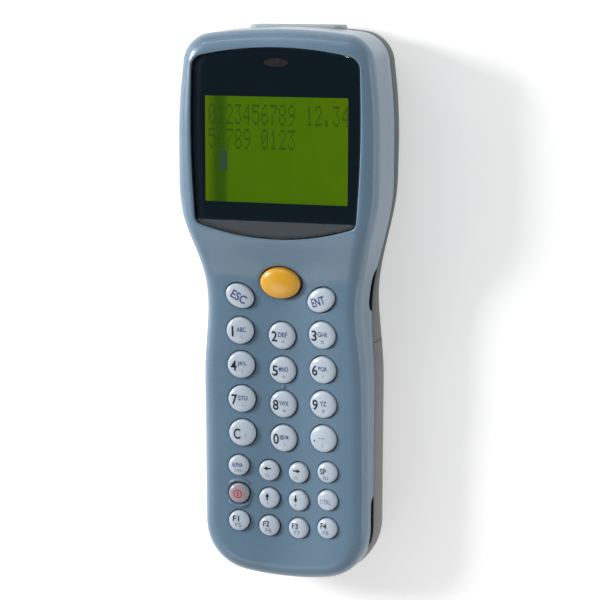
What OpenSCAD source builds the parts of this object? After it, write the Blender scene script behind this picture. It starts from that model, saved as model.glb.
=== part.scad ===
// Portable barcode data terminal, lying on its back.
// X is across the keypad, Y runs from the grip to the scan window, Z rises out of the face.
// The origin is under the middle of the body, on the plane that the back rests on.

/* [Body] */
// Overall length, scan window nose included
body_len = 183.2; // [180:0.2:188]
// Width of the head
head_w = 67.3; // [66:0.1:70]
// Width of the head where its top corners start
crown_w = 64; // [63:0.1:66]
// Width of the waist behind the scan key
waist_w = 55.4; // [54:0.1:57]
// Width of the grip
grip_w = 58.8; // [58:0.1:62]
// Depth of the grip, from the back to the middle of the keypad
grip_depth = 22.8; // [22.6:0.1:26]
// Rise of the head's face above the keypad
head_rise = 11.6; // [10:0.1:13]
// Wall of the housings
wall = 1.9; // [1.6:0.1:2.2]
// Gap along the seam between the housings
seam_gap = 0.2; // [0.1:0.05:0.4]
// How far the sides of the grip lean in, per unit of height
grip_lean = 0.18; // [0.1:0.01:0.2]
// How far the sides of the head lean in, per unit of height
head_lean = 0.03; // [0:0.01:0.06]

/* [Outline] */
// Radius of the arched top end
top_arc_r = 180; // [120:1:240]
// Radius of the head's corners
top_corner_r = 10.5; // [9:0.5:12]
// Radius of the arched bottom end
bottom_arc_r = 75; // [60:1:120]
// Radius of the grip's corners
bottom_corner_r = 18.5; // [16:0.5:20]
// Place of the waist, from the middle of the body
waist_y = 3; // [2:0.5:4]
// Where the head reaches its full width
head_y = 41.5; // [38:0.5:44]
// Where the head starts to narrow towards its top corners
crown_y = 55; // [50:1:60]
// Where the grip reaches its full width
grip_y = -24; // [-30:0.5:-20]
// How far the scan window nose stands out of the top end
nose_out = 1.3; // [0.8:0.1:1.6]

/* [Face] */
// Width of the rounding between the face and the sides
rim_r = 6; // [4.5:0.25:7]
// Height of that rounding
rim_h = 4.9; // [4:0.1:5.4]
// How far the keypad's middle lies below its sides
bowl_h = 1.9; // [0:0.1:2.4]
// Lengthwise curve of the keypad, as height over distance squared
face_curve = 0.0006; // [0:0.0001:0.0008]
// Where the keypad starts to rise
rise_y = -71.5; // [-78:0.5:-66]
// Where the ramp to the head starts
ramp_y = 7.5; // [4:0.5:9]
// Where the ramp ends in the head's flat face
ramp_end_y = 31.5; // [30:0.5:36]

/* [Back] */
// Width of the rounding between the back and the sides
back_r = 10; // [7:0.5:12]
// Height of that rounding
back_h = 9; // [6:0.5:11]
// Depth of the finger rest behind the ramp
scoop_h = 2.4; // [0:0.2:3]
// Height of the seam above the back, along the grip
grip_seam_z = 16.2; // [15.8:0.1:16.4]
// Height of the seam above the back, along the head
head_seam_z = 13.6; // [13.4:0.1:14.4]
// Top end of the battery cover
cover_y = -10.8; // [-16:0.2:-8]

/* [Display] */
// Width of the visible screen
screen_w = 47; // [40:0.5:48]
// Height of the visible screen
screen_h = 33.4; // [32:0.2:34]
// Middle of the screen
screen_y = 52.1; // [50:0.1:54]
// Thickness of the lens
lens_t = 1.5; // [1.2:0.1:1.8]
// How far the lens lies below the rim around it
lens_sink = 0.4; // [0.2:0.1:0.8]
// Width of the lens at its lower corners
lens_w0 = 53.2; // [52:0.2:55]
// Width of the lens at its upper corners
lens_w1 = 54.8; // [53:0.2:56]
// Lowest point of the lens's lower arc
lens_y0 = 24; // [22:0.5:26]
// Highest point of the lens
lens_y1 = 84; // [83:0.1:84.2]
// Radius of the arched upper edge of the lens
lens_arc_r = 116; // [90:1:150]
// Where the lens bends down towards the keypad
crease_y = 29.7; // [28:0.1:31]
// Slope of the lens below that bend
crease_slope = 0.28; // [0.1:0.02:0.4]
// Middle of the indicator light
led_y = 79.4; // [77:0.1:80]

/* [Keys] */
// Diameter of the number keys
key_d = 8.9; // [8:0.1:9.2]
// Diameter of the small keys
small_d = 6.8; // [6:0.1:7]
// Length of the scan key
scan_w = 13.4; // [12:0.2:14.6]
// Height of the scan key's outline
scan_l = 10.4; // [9:0.2:11]
// Length of the two slanted keys beside it
slant_w = 9.6; // [8.6:0.1:10]
// Width of the two slanted keys
slant_l = 7.5; // [6.6:0.1:8]
// Turn of the slanted keys
slant_turn = 30; // [0:1:45]
// Distance between the columns of number keys
col_pitch = 13.85; // [12.5:0.05:14.5]
// Distance between the rows of number keys
row_pitch = 11.5; // [11:0.1:12]
// First row of number keys
row_y = -8.2; // [-9:0.1:-7]
// Distance between the columns of small keys
small_col = 10.15; // [9.4:0.05:10.6]
// Distance between the rows of small keys
small_row = 9.45; // [9.2:0.05:9.8]
// First row of small keys
small_y = -54.1; // [-56:0.1:-53.5]
// Rise of each key row's ends, as height over distance squared
smile = 0.006; // [0:0.001:0.008]
// Middle of the scan key
scan_y = 9.35; // [8.5:0.1:10.5]
// Middle of the slanted keys
slant_y = 4.45; // [3.5:0.1:5]
// How far the number keys stand out of the face
key_out = 1.7; // [1.2:0.1:2.2]
// Depth of the dish round the scan key
dish_h = 0.9; // [0.4:0.1:1.2]
// How far the scan key stands out of the face
scan_out = 3; // [2:0.1:3.5]
// How far a key can be pressed
key_travel = 0.9; // [0.6:0.05:1]
// Gap round each key
key_gap = 0.3; // [0.25:0.05:0.4]

/* [Inside] */
// Diameter of a battery cell
cell_d = 14.2; // [13.6:0.1:14.4]
// Length of a battery cell
cell_len = 50.2; // [49:0.1:50.5]
// Gap round the cells
cell_gap = 0.25; // [0.15:0.05:0.3]
// Thickness of the circuit boards
board_t = 1.2; // [1:0.1:1.3]
// Clearance where the battery cover slides
slide_gap = 0.3; // [0.2:0.05:0.4]
// Radius of the case screws' shanks
screw_r = 1.1; // [1:0.05:1.3]

/* [Hidden] */
n_side = 14;
n_arc = 3;
n_corner = 4;
end_y = body_len / 2;
top_y = end_y - nose_out;
crown_run = 23.5;
lean_z = 12;

// Heights of the stack in the grip, from the back to the keys
cover_wall = wall - 0.1;
cell_z = cover_wall + slide_gap + cell_d / 2;
deck_z = cell_z + cell_d / 2 + 0.2;
deck_t = 1;
board_z = deck_z + deck_t + 0.1;
board_top = board_z + board_t;
board_y1 = 69;
mat_t = 0.4;
foot_gap = 0.05;
flange_t = 0.3;
flange_gap = 0.35;
flange_w = 0.8;
lens_z = grip_depth + head_rise - lens_sink;
mask_t = 0.2;
bed_t = 1.8;
seat_gap = 0.1;
lens_bow = 0.74;
lens_low_r = 77;
lens_tc_r = 4;
lens_bc_r = 2.7;

// Parts of the battery bay
tray_wall = 1.2;
tray_x = cell_d + cell_gap * 2 + 0.5;
spring_l = 3.2;
plate_t = 0.4;
tray_y0 = -end_y + 6.4;
cell_y0 = tray_y0 + spring_l;
tray_y1 = cell_y0 + cell_len + plate_t + 0.2;
deck_in = wall + 1.5;
channel_x = waist_w / 2 - 2;
rib_w = 1.5;
rib_h = 0.9;
rib_y0 = -end_y + 22;
rail_x = channel_x - 2.8;
rail_z = 12;
rail_t = 1.2;
lip_t = 1;

// Places of the case screws: head, ramp and foot of the grip
SCREWS = [[head_w / 2 - 5.25, 72], [half_w(20) - 7, 20], [grip_w / 2 - 8.9, -end_y + 12.6]];
boss_r = 2.7;
post_gap = 0.3;

// Circuit board that carries the screen
lcd_frame_w = screen_w + 3.8;
lcd_frame_h = screen_h + 4.6;
lcd_top = lens_z - lens_t - mask_t - 0.1;
glass_t = 2.6;
light_t = 2.4;
lcd_board_z = lcd_top - glass_t - light_t - board_t - 0.1;
post_x = 21;
post_dy = lcd_frame_h / 2 + 2.5;

// Scan engine and its window
engine_w = 30;
engine_l = 22;
engine_h = 12;
engine_z = 3;
engine_y1 = top_y - 6.4;
window_w = 26;
window_h = 7.4;
window_t = 1.4;
window_z = 8.2;
nose_w = window_w + 5;
nose_h = window_h + 2.8;
window_in = 0.5;

slot_y0 = 0.6;
slot_y1 = 12.4;
slot_h = 2.6;
low_slot_y0 = -end_y + 12.4;
low_slot_y1 = -end_y + 29;
low_slot_h = 2;

// Every key: name, x, y, width, length, turn, how far it stands out
function curved(x, y) = y + smile * x * x;
function number_key(name, col, row) =
    let (x = col * col_pitch) [name, x, curved(x, row_y - row * row_pitch), key_d, key_d, 0, key_out];
function small_key(name, col, row) =
    let (x = (col - 1.5) * small_col)
    [name, x, curved(x, small_y - row * small_row), small_d, small_d, 0, key_out];
NUMBER_NAMES = [["key_1", "key_2", "key_3"], ["key_4", "key_5", "key_6"],
    ["key_7", "key_8", "key_9"], ["key_c", "key_0", "key_dot"]];
SMALL_NAMES = [["key_alpha", "key_left", "key_right", "key_space"],
    ["key_power", "key_up", "key_down", "key_ctrl"], ["key_f1", "key_f2", "key_f3", "key_f4"]];
KEYS = concat(
    [["key_scan", 0, scan_y, scan_w, scan_l, 0, scan_out],
     ["key_esc", -col_pitch + 0.2, slant_y, slant_w, slant_l, -slant_turn, key_out],
     ["key_enter", col_pitch - 0.2, slant_y, slant_w, slant_l, slant_turn, key_out]],
    [for (r = [0:3]) for (c = [0:2]) number_key(NUMBER_NAMES[r][c], c - 1, r)],
    [for (r = [0:2]) for (c = [0:3]) small_key(SMALL_NAMES[r][c], c, r)]);

// ---- Form of the housing ----

function smooth(t) = t <= 0 ? 0 : t >= 1 ? 1 : t * t * (3 - 2 * t);

// Half of the body's width at y
function half_w(y) = waist_w / 2
    + (head_w - waist_w) / 2 * smooth((y - waist_y) / (head_y - waist_y))
    + (grip_w - waist_w) / 2 * smooth((waist_y - y) / (waist_y - grip_y))
    - (head_w - crown_w) / 2 * pow(min(max((y - crown_y) / crown_run, 0), 1), 2);

// Middle of the circle that rounds a corner inside an end arc, above the arc's lowest point
function corner_rise(hw, arc_r, r) = arc_r - sqrt(pow(arc_r - r, 2) - pow(hw - r, 2));

// An end arc and its corner, from the middle to the side, for an end that faces -Y at y = 0.
// The corner ends where its normal has the angle b1, to meet a side that narrows towards the end.
function end_points(hw, arc_r, r, b1 = 0) =
    let (cy = corner_rise(hw, arc_r, r), cx = hw - r, a = atan2(cy - arc_r, cx))
    concat(
        [for (i = [0:n_arc - 1]) let (b = -90 + (a + 90) * i / n_arc)
            [arc_r * cos(b), arc_r + arc_r * sin(b)]],
        [for (i = [0:n_corner]) let (b = a + (b1 - a) * i / n_corner) [cx + r * cos(b), cy + r * sin(b)]]);

// The right half of the body's outline, drawn in by d, from the bottom end to the top end
function half_outline(d) =
    let (low = end_points(grip_w / 2 - d, bottom_arc_r - d, bottom_corner_r - d),
         high = end_points(crown_w / 2 - d, top_arc_r - d, top_corner_r - min(d, top_corner_r - 1),
             -atan((head_w - crown_w) / crown_run)),
         y0 = -end_y + d + low[len(low) - 1][1], y1 = top_y - d - high[len(high) - 1][1])
    concat(
        [for (p = low) [p[0], p[1] - end_y + d]],
        [for (i = [1:n_side]) let (y = y0 + (y1 - y0) * i / (n_side + 1)) [half_w(y) - d, y]],
        [for (i = [len(high) - 1:-1:0]) [high[i][0], top_y - d - high[i][1]]]);

// The whole outline from its right half
function mirrored(half) = concat(half, [for (i = [len(half) - 2:-1:1]) [-half[i][0], half[i][1]]]);
function outline(d) = mirrored(half_outline(d));

// The outline, drawn in by its own amount at each point
function drawn_in(ds) =
    let (a = outline(0), b = outline(rim_r))
    [for (i = [0:len(a) - 1]) a[i] + (b[i] - a[i]) * ds[i] / rim_r];

// How far the side wall leans in at a height
function side_in(y, z) =
    (grip_lean + (head_lean - grip_lean) * smooth((y + 6) / 40)) * max(z - lean_z, 0);

// Height of the face over the middle of the body
function face_mid(y) =
    let (run = ramp_end_y - ramp_y, t = (y - ramp_y) / run, slope = 2 * face_curve * (ramp_y - rise_y),
         start = face_curve * pow(ramp_y - rise_y, 2))
    y <= rise_y ? grip_depth
    : y <= ramp_y ? grip_depth + face_curve * pow(y - rise_y, 2)
    : y < ramp_end_y ? grip_depth + start + (head_rise - start) * smooth(t) + slope * run * t * pow(1 - t, 2)
    : grip_depth + head_rise;

// Height of the face: the keypad is hollow from side to side, and the head is flat
function bowl(y) = bowl_h * (1 - smooth((y + 2.5) / 30));
function face_z(x, y) =
    let (u = min(abs(x) / (half_w(y) - rim_r), 1)) face_mid(y) + bowl(y) * (1 - cos(180 * u)) / 2;
function slope_x(x, y) = (face_z(x + 0.1, y) - face_z(x - 0.1, y)) / 0.2;
function slope_y(x, y) = (face_z(x, y + 0.1) - face_z(x, y - 0.1)) / 0.2;

// Height of the seam and of the back
function seam_z(y) = grip_seam_z + (head_seam_z - grip_seam_z) * smooth((y + 20) / 45);
function back_z(y) = scoop_h * (y > cover_y && y < 56 ? (1 - cos(360 * (y - cover_y) / (56 - cover_y))) / 2 : 0);

// A solid from rings of points, each ring as long as the outline, closed by strips across the body
module stack(rings) {
    n = len(rings[0]);
    h = n / 2;
    last = (len(rings) - 1) * n;
    polyhedron(
        points = [for (r = rings) for (p = r) p],
        faces = concat(
            [for (k = [0:len(rings) - 2]) for (j = [0:n - 1])
                let (a = k * n + j, b = k * n + (j + 1) % n) [a, a + n, b + n]],
            [for (k = [0:len(rings) - 2]) for (j = [0:n - 1])
                let (a = k * n + j, b = k * n + (j + 1) % n) [a, b + n, b]],
            [for (i = [0:h - 2]) [i, i + 1, (n - i - 1) % n]],
            [for (i = [1:h - 1]) [i, (n - i - 1) % n, n - i]],
            [for (i = [0:h - 2]) [last + i, last + (n - i - 1) % n, last + i + 1]],
            [for (i = [1:h - 1]) [last + i, last + n - i, last + (n - i - 1) % n]]));
}

// Rings of the front housing's surface, drawn in by d on every side
function front_rings(d, steps, inner) =
    let (crest = outline(rim_r), foot = outline(d), n = len(crest) - 1,
         zs = [for (p = crest) face_z(p[0], p[1]) - d],
         hs = [for (i = [0:n]) min(max(rim_h - d, 0.6), zs[i] - seam_z(foot[i][1]) - 0.3)],
         ds = [for (i = [0:n]) d + side_in(foot[i][1], zs[i] - hs[i])])
    concat(
        [[for (p = drawn_in([for (q = foot) d + side_in(q[1], seam_z(q[1]))]))
            [p[0], p[1], seam_z(p[1]) - (d > 0 ? 2 : 0)]]],
        [for (k = [0:steps])
            let (a = 90 * k / steps, o = drawn_in([for (v = ds) v + (rim_r - v) * (1 - cos(a))]))
            [for (i = [0:n]) [o[i][0], o[i][1], zs[i] - hs[i] * (1 - sin(a))]]],
        [for (k = [1:inner]) let (s = 1 - 0.86 * k / inner)
            [for (p = crest) let (m = max(min(p[1], end_y - 32), 26 - end_y), y = m + s * (p[1] - m))
                [p[0] * s, y, face_z(p[0] * s, y) - d]]]);

// Rings of the rear housing's surface, drawn in by d on every side, up to z above the seam
function rear_rings(d, steps, z) =
    concat(
        [for (k = [0:steps]) let (a = 90 - 90 * k / steps)
            [for (p = outline(d + (back_r - d) * (1 - cos(a))))
                [p[0], p[1], back_z(p[1]) + d + (back_h - d) * (1 - sin(a))]]],
        [[for (p = drawn_in([for (q = outline(d)) d + side_in(q[1], seam_z(q[1]) + z)]))
            [p[0], p[1], seam_z(p[1]) + z]]]);

module below_seam(d) {
    stack(rear_rings(d, 4, -seam_gap));
}

// Holds its children at a place on the face, leaning as the face does there
module on_face(x, y) {
    translate([x, y, face_z(x, y)]) rotate([atan(slope_y(x, y)), -atan(slope_x(x, y)), 0]) children();
}

// ---- Lens and screen ----

// The lens's outline, let out by c
function lens_outline(c) =
    let (low = end_points(lens_w0 / 2 + c, lens_low_r + c, lens_bc_r + c),
         high = end_points(lens_w1 / 2 + c, lens_arc_r + c, lens_tc_r + c),
         y0 = lens_y0 - c + low[len(low) - 1][1], y1 = lens_y1 + c - high[len(high) - 1][1])
    mirrored(concat(
        [for (p = low) [p[0], p[1] + lens_y0 - c]],
        [for (i = [1:5]) let (t = i / 6)
            [(lens_w0 + (lens_w1 - lens_w0) * t) / 2 + c + lens_bow * sin(180 * t), y0 + (y1 - y0) * t]],
        [for (i = [len(high) - 1:-1:0]) [high[i][0], lens_y1 + c - high[i][1]]]));

// A layer under the lens's outline, from z0 to z1 above its surface, bent as the lens is
module lens_layer(c, z0, z1) {
    low_y = lens_y0 - 8;
    drop = crease_slope * (crease_y - low_y);
    intersection() {
        linear_extrude(height = 60) polygon(lens_outline(c));
        rotate([90, 0, 90]) translate([0, lens_z, -head_w / 2]) linear_extrude(height = head_w)
            polygon([[low_y, z0 - drop], [crease_y, z0], [end_y, z0],
                [end_y, z1], [crease_y, z1], [low_y, z1 - drop]]);
    }
}

module oval(w, l, h, turn = 0, n = 28) {
    rotate([0, 0, turn]) linear_extrude(height = h)
        polygon([for (i = [0:n - 1]) [w / 2 * cos(360 * i / n), l / 2 * sin(360 * i / n)]]);
}

module display_lens() {
    color("LightSlateGray", 0.4) lens_layer(0, -lens_t, 0);
}

module screen_block(w, l, z0, z1) {
    translate([-w / 2, screen_y - l / 2, z0]) cube([w, l, z1 - z0]);
}

module lens_mask() {
    color([0.05, 0.07, 0.09]) difference() {
        lens_layer(-0.3, -lens_t - mask_t, -lens_t);
        screen_block(screen_w, screen_h, lens_z - 10, lens_z);
        translate([0, led_y, lens_z - 10]) oval(8.2, 2.9, 20);
    }
}

module lcd_panel() {
    color("OliveDrab") {
        screen_block(screen_w + 1.4, screen_h + 1.8, lcd_top - 1.2, lcd_top);
        screen_block(screen_w + 1.4, screen_h + 3, lcd_top - glass_t, lcd_top - 1.2);
    }
}

module lcd_frame() {
    color("DimGray") difference() {
        screen_block(lcd_frame_w, lcd_frame_h, lcd_top - glass_t - light_t, lcd_top);
        screen_block(lcd_frame_w - 2, lcd_frame_h - 1.2, lcd_top - glass_t - light_t - 1, lcd_top + 1);
    }
}

module backlight() {
    color("WhiteSmoke")
        screen_block(screen_w + 1.4, screen_h + 3, lcd_top - glass_t - light_t, lcd_top - glass_t);
}

module lcd_board() {
    color("DarkGreen") difference() {
        screen_block(50, 2 * post_dy + 5, lcd_board_z, lcd_board_z + board_t);
        for (x = [-post_x, post_x], s = [-1, 1])
            translate([x, screen_y + s * post_dy, lcd_board_z - 1]) cylinder(r = 1.1, h = 4, $fn = 32);
    }
}

module lcd_flex() {
    color("Chocolate") translate([-8, screen_y - post_dy - 2.9, board_top])
        cube([16, 0.3, lcd_board_z + board_t - board_top]);
}

module indicator_light() {
    color("DarkRed") translate([0, led_y, lcd_board_z + board_t + 0.1])
        oval(8, 2.7, lens_z - lens_t - lcd_board_z - board_t - 0.2);
}

// ---- Housings ----

// A key's hole, which widens a little towards the outside
module key_cut(k) {
    n = k[3] > 9 ? 18 : 13;
    grow = 2 * key_gap + 0.24;
    on_face(k[1], k[2]) hull() {
        translate([0, 0, -8]) oval(k[3] + grow, k[4] + grow, 0.1, k[5], n);
        translate([0, 0, 6]) oval(k[3] + grow + 1, k[4] + grow + 1, 0.1, k[5], n);
    }
}

// Shallow dish round the scan key
module scan_dish() {
    on_face(0, scan_y - 1) scale([1, 0.83, 1]) rotate_extrude($fn = 24)
        polygon([[0, -dish_h], [4.5, -dish_h * 0.82], [8, -dish_h * 0.42], [10.5, 0], [12, 1.2], [12.2, 6], [0, 6]]);
}

// Crescent that keeps a finger off the power key
module power_guard(s) {
    rotate([0, 0, s > 0 ? 0 : 180]) intersection() {
        difference() {
            cylinder(r1 = small_d / 2 + 1.7, r2 = small_d / 2 + 1.3, h = 0.9, $fn = 32);
            translate([0, 0, -1]) cylinder(r = small_d / 2 + key_gap, h = 4, $fn = 32);
        }
        translate([-3.6, 2, -1]) cube([7.2, 5, 3]);
    }
}

// Opening in the front housing's edge, above the seam
module strap_slot(y0, y1, h) {
    for (s = [-1, 1]) hull() for (y = [y0 + h, y1 - h])
        translate([s * (half_w(y) - wall - 1), y, seam_z(y)]) rotate([0, s * 90, 0])
            scale([1, 1.4, 1]) cylinder(r = h, h = wall + 3, $fn = 12);
}

// Heights where the posts of the two housings meet: at the seam, or on both sides of the board
function post_ends(p) =
    p[1] > board_y1 ? [seam_z(p[1]) - seam_gap, seam_z(p[1]) + 0.05] : [board_z, board_top + 0.05];

module rear_posts() {
    for (p = SCREWS, s = [-1, 1]) let (z = p[1] < cover_y ? screw_head_z(p) - 2 : 1)
        translate([s * p[0], p[1], z]) cylinder(r = boss_r, h = post_ends(p)[0] - z, $fn = 18);
}

module front_posts() {
    for (p = SCREWS, s = [-1, 1])
        translate([s * p[0], p[1], post_ends(p)[1]]) cylinder(r = boss_r, h = body_len, $fn = 18);
}

module lcd_posts(z0, z1, r) {
    for (x = [-post_x, post_x], s = [-1, 1])
        translate([x, screen_y + s * post_dy, z0]) cylinder(r = r, h = z1 - z0, $fn = 16);
}

module front_case() {
    power = [for (k = KEYS) if (k[0] == "key_power") k][0];
    five = [for (k = KEYS) if (k[0] == "key_5") k][0];
    color("SlateGray") difference() {
        union() {
            difference() {
                stack(front_rings(0, 4, 3));
                stack(front_rings(wall, 2, 3));
            }
            intersection() {
                stack(front_rings(0.5, 2, 3));
                union() {
                    lens_layer(1.6, -lens_t - mask_t - bed_t, 0);
                    front_posts();
                    lcd_posts(lcd_board_z + board_t, body_len, 2);
                }
            }
            on_face(power[1], power[2]) {
                translate([0, 0, -0.3]) power_guard(1);
                translate([0, 0, -0.3]) power_guard(-1);
            }
            on_face(five[1], five[2] - key_d / 2 - 1.3) sphere(r = 0.6, $fn = 12);
        }
        lens_layer(seat_gap, -lens_t - mask_t, 8);
        screen_block(lcd_frame_w + 0.6, lcd_frame_h + 0.6, 15, lens_z);
        translate([0, led_y, 15]) oval(8.6, 3.3, 30);
        scan_dish();
        for (k = KEYS) key_cut(k);
        strap_slot(slot_y0, slot_y1, slot_h);
        strap_slot(low_slot_y0, low_slot_y1, low_slot_h);
        for (p = SCREWS, s = [-1, 1]) translate([s * p[0], p[1], 0])
            cylinder(r = screw_r, h = face_z(p[0], p[1]) - wall - 0.6, $fn = 16);
        lcd_posts(0, lcd_top - 2, 0.8);
    }
}

module deck_outline(d) {
    intersection() {
        polygon(outline(d));
        translate([-channel_x + slide_gap, -end_y]) square([2 * (channel_x - slide_gap), cover_y + end_y + 3]);
    }
}

// Rail under the deck, with the lip that carries the battery cover's rib
module cover_rail() {
    translate([rail_x, rib_y0, rail_z]) {
        cube([rail_t, cover_y + 0.4 - rib_y0, deck_z + 0.1 - rail_z]);
        cube([channel_x - slide_gap - rail_x, cover_y + 0.4 - rib_y0, lip_t]);
    }
}

module rear_case() {
    color("DimGray") difference() {
        union() {
            difference() {
                below_seam(0);
                stack(rear_rings(wall, 3, 2));
                translate([-head_w, -end_y - 1, -1])
                    cube([2 * head_w, cover_y + 0.15 + end_y + 1, body_len]);
            }
            intersection() {
                below_seam(0);
                translate([-head_w, cover_y + 0.15, -1]) cube([2 * head_w, wall, deck_z + deck_t + 1]);
            }
            translate([0, 0, deck_z]) linear_extrude(height = deck_t) deck_outline(deck_in);
            intersection() {
                stack(rear_rings(cover_wall + slide_gap, 3, 1));
                translate([-tray_x - tray_wall, tray_y0 - tray_wall, 0])
                    cube([2 * (tray_x + tray_wall), tray_y1 - tray_y0 + 2 * tray_wall, deck_z + deck_t]);
            }
            intersection() {
                stack(rear_rings(0.6, 2, 4));
                rear_posts();
            }
            for (s = [-1, 1]) scale([s, 1, 1]) cover_rail();
            hull() for (x = [-1, 1], z = [-1, 1])
                translate([x * (nose_w / 2 - 3), top_y - 3, window_z + z * (nose_h / 2 - 3)])
                    rotate([-90, 0, 0]) cylinder(r = 3, h = 3 + nose_out, $fn = 20);
        }
        translate([-tray_x, tray_y0, -1]) cube([2 * tray_x, tray_y1 - tray_y0, deck_z + 1]);
        // Window seat and the way out for the beam
        hull() for (x = [-1, 1], z = [-1, 1])
            translate([x * (window_w / 2 - 1.5), end_y - window_in - window_t, window_z + z * (window_h / 2 - 1.5)])
                rotate([-90, 0, 0]) cylinder(r = 1.5, h = 5, $fn = 16);
        hull() for (x = [-1, 1], z = [-1, 1])
            translate([x * (window_w / 2 - 2.5), top_y - 8, window_z + z * (window_h / 2 - 2.5)])
                rotate([-90, 0, 0]) cylinder(r = 1.5, h = 12, $fn = 16);
        // Sound slots of the buzzer
        for (i = [-2:2]) hull() for (s = [-1, 1])
            translate([16 + s * 4, 38 + i * 2.4, -1]) cylinder(r = 0.6, h = 6, $fn = 8);
        for (p = SCREWS, s = [-1, 1]) translate([s * p[0], p[1], 0]) {
            cylinder(r = screw_r + 0.2, h = 30, $fn = 14);
            translate([0, 0, -1]) cylinder(r = 2.2, h = screw_head_z(p) + 1, $fn = 18);
        }
        for (i = [-2:2]) translate([i * 4, 66, -1]) cylinder(r = 1.35, h = 4, $fn = 12);
    }
}

// Height of the step that a case screw's head bears on
function screw_head_z(p) = p[1] < cover_y ? deck_z - 3.6 : 4;

module battery_cover() {
    color("Gray") difference() {
        union() {
            intersection() {
                difference() {
                    below_seam(0);
                    intersection() {
                        stack(rear_rings(cover_wall, 4, 2));
                        translate([-channel_x, -end_y, 0]) cube([2 * channel_x, body_len, body_len]);
                    }
                }
                translate([-head_w, -end_y - 1, -1]) cube([2 * head_w, cover_y + end_y + 1, body_len]);
            }
            // Ribs that slide on the rails' lips
            for (s = [-1, 1]) translate([s * (channel_x - rib_w / 2 + 0.2), rib_y0, rail_z + lip_t + slide_gap])
                translate([-rib_w / 2, 0, 0]) cube([rib_w, cover_y - 1 - rib_y0, rib_h]);
        }
        // Thumb grips
        for (i = [0:5]) hull() for (s = [-1, 1])
            translate([s * (9 - i * 0.8), -24 - i * 2.2, 0]) scale([1, 0.7, 0.7]) sphere(r = 0.9, $fn = 8);
    }
}

module scan_window() {
    color("DarkRed") hull() for (x = [-1, 1], z = [-1, 1])
        translate([x * (window_w / 2 - 1.6), end_y - window_in - window_t, window_z + z * (window_h / 2 - 1.6)])
            rotate([-90, 0, 0]) cylinder(r = 1.5, h = window_t, $fn = 16);
}

// ---- Keys ----

// A cap's edge rounds into its dome as a superellipse
function cap_profile(r, out) =
    let (z0 = out * 0.25, n = 2.5)
    [for (i = [0:8]) let (a = 90 * i / 8) [r * pow(cos(a), 2 / n), z0 + (out - z0) * pow(sin(a), 2 / n)]];

module round_cap(d, out, depth) {
    rotate_extrude($fn = 48)
        polygon(concat([[0, -depth], [d / 2, -depth]], [for (p = cap_profile(d / 2, out)) [max(p[0], 0), p[1]]]));
}

module oval_cap(w, l, out, depth, turn) {
    rows = concat([[w / 2, -depth]], [for (i = [0:7]) cap_profile(w / 2, out)[i]]);
    n = 24;
    rotate([0, 0, turn]) polyhedron(
        points = concat(
            [for (p = rows) for (j = [0:n - 1]) [p[0] * cos(360 * j / n), p[0] * l / w * sin(360 * j / n), p[1]]],
            [[0, 0, -depth], [0, 0, out]]),
        faces = concat(
            [for (k = [0:len(rows) - 2]) for (j = [0:n - 1])
                [k * n + j, (k + 1) * n + j, (k + 1) * n + (j + 1) % n]],
            [for (k = [0:len(rows) - 2]) for (j = [0:n - 1])
                [k * n + j, (k + 1) * n + (j + 1) % n, k * n + (j + 1) % n]],
            [for (j = [0:n - 1]) [len(rows) * n, j, (j + 1) % n]],
            [for (j = [0:n - 1])
                [(len(rows) - 1) * n + j, len(rows) * n + 1, (len(rows) - 1) * n + (j + 1) % n]]));
}

function key_color(name) =
    name == "key_scan" ? "Orange" : name == "key_power" ? "RosyBrown" : "LightSteelBlue";

module key(k) {
    depth = wall + flange_gap;
    foot = board_top + key_travel + foot_gap;
    color(key_color(k[0])) {
        on_face(k[1], k[2]) {
            if (k[3] == k[4]) round_cap(k[3], k[6], depth);
            else oval_cap(k[3], k[4], k[6], depth + flange_t / 2, k[5]);
            translate([0, 0, -depth - flange_t])
                if (k[3] == k[4]) cylinder(r = k[3] / 2 + flange_w, h = flange_t, $fn = 48);
                else oval(k[3] + 2 * flange_w, k[4] + 2 * flange_w, flange_t, k[5]);
        }
        stem = face_z(k[1], k[2]) - depth + 0.9 - foot;
        translate([k[1], k[2], foot])
            if (k[3] == k[4]) cylinder(r = small_d / 2 - 1, h = stem, $fn = 32);
            else oval(small_d - 2, small_d - 2, stem);
    }
}

module key_mat() {
    color("WhiteSmoke") difference() {
        translate([0, 0, board_top]) linear_extrude(height = mat_t) intersection() {
            polygon(outline(deck_in + 3.6));
            translate([-head_w, -end_y + 13]) square([2 * head_w, scan_y + 9 + end_y - 13]);
        }
        for (k = KEYS) translate([k[1], k[2], 0]) cylinder(r = small_d / 2 - 0.6, h = 40, $fn = 32);
        for (p = SCREWS, s = [-1, 1])
            translate([s * p[0], p[1], 0]) cylinder(r = boss_r + post_gap, h = 40, $fn = 32);
    }
}

// ---- Boards and what they carry ----

module main_board() {
    color("ForestGreen") difference() {
        translate([0, 0, board_z]) linear_extrude(height = board_t) intersection() {
            polygon(outline(deck_in + 1.6));
            translate([-head_w, -end_y]) square([2 * head_w, board_y1 + end_y]);
        }
        for (p = SCREWS, s = [-1, 1]) translate([s * p[0], p[1], 0]) cylinder(r = screw_r + 0.3, h = 40, $fn = 32);
    }
}

module board_chips() {
    color("Black") for (c = [[-12, 42, 12, 12, 1.6], [8, 44, 14, 10, 1.4], [-8, 60, 18, 8, 1.4], [14, 60, 8, 8, 1.2]])
        translate([c[0] - c[2] / 2, c[1] - c[3] / 2, board_top]) cube([c[2], c[3], c[4]]);
}

module buzzer() {
    color("Black") translate([16, 38, board_z - 4]) cylinder(r = 6.4, h = 4, $fn = 48);
}

module backup_cell() {
    color("Silver") translate([-14, 40, board_z - 3.2]) cylinder(r = 10, h = 3.2, $fn = 48);
}

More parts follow.
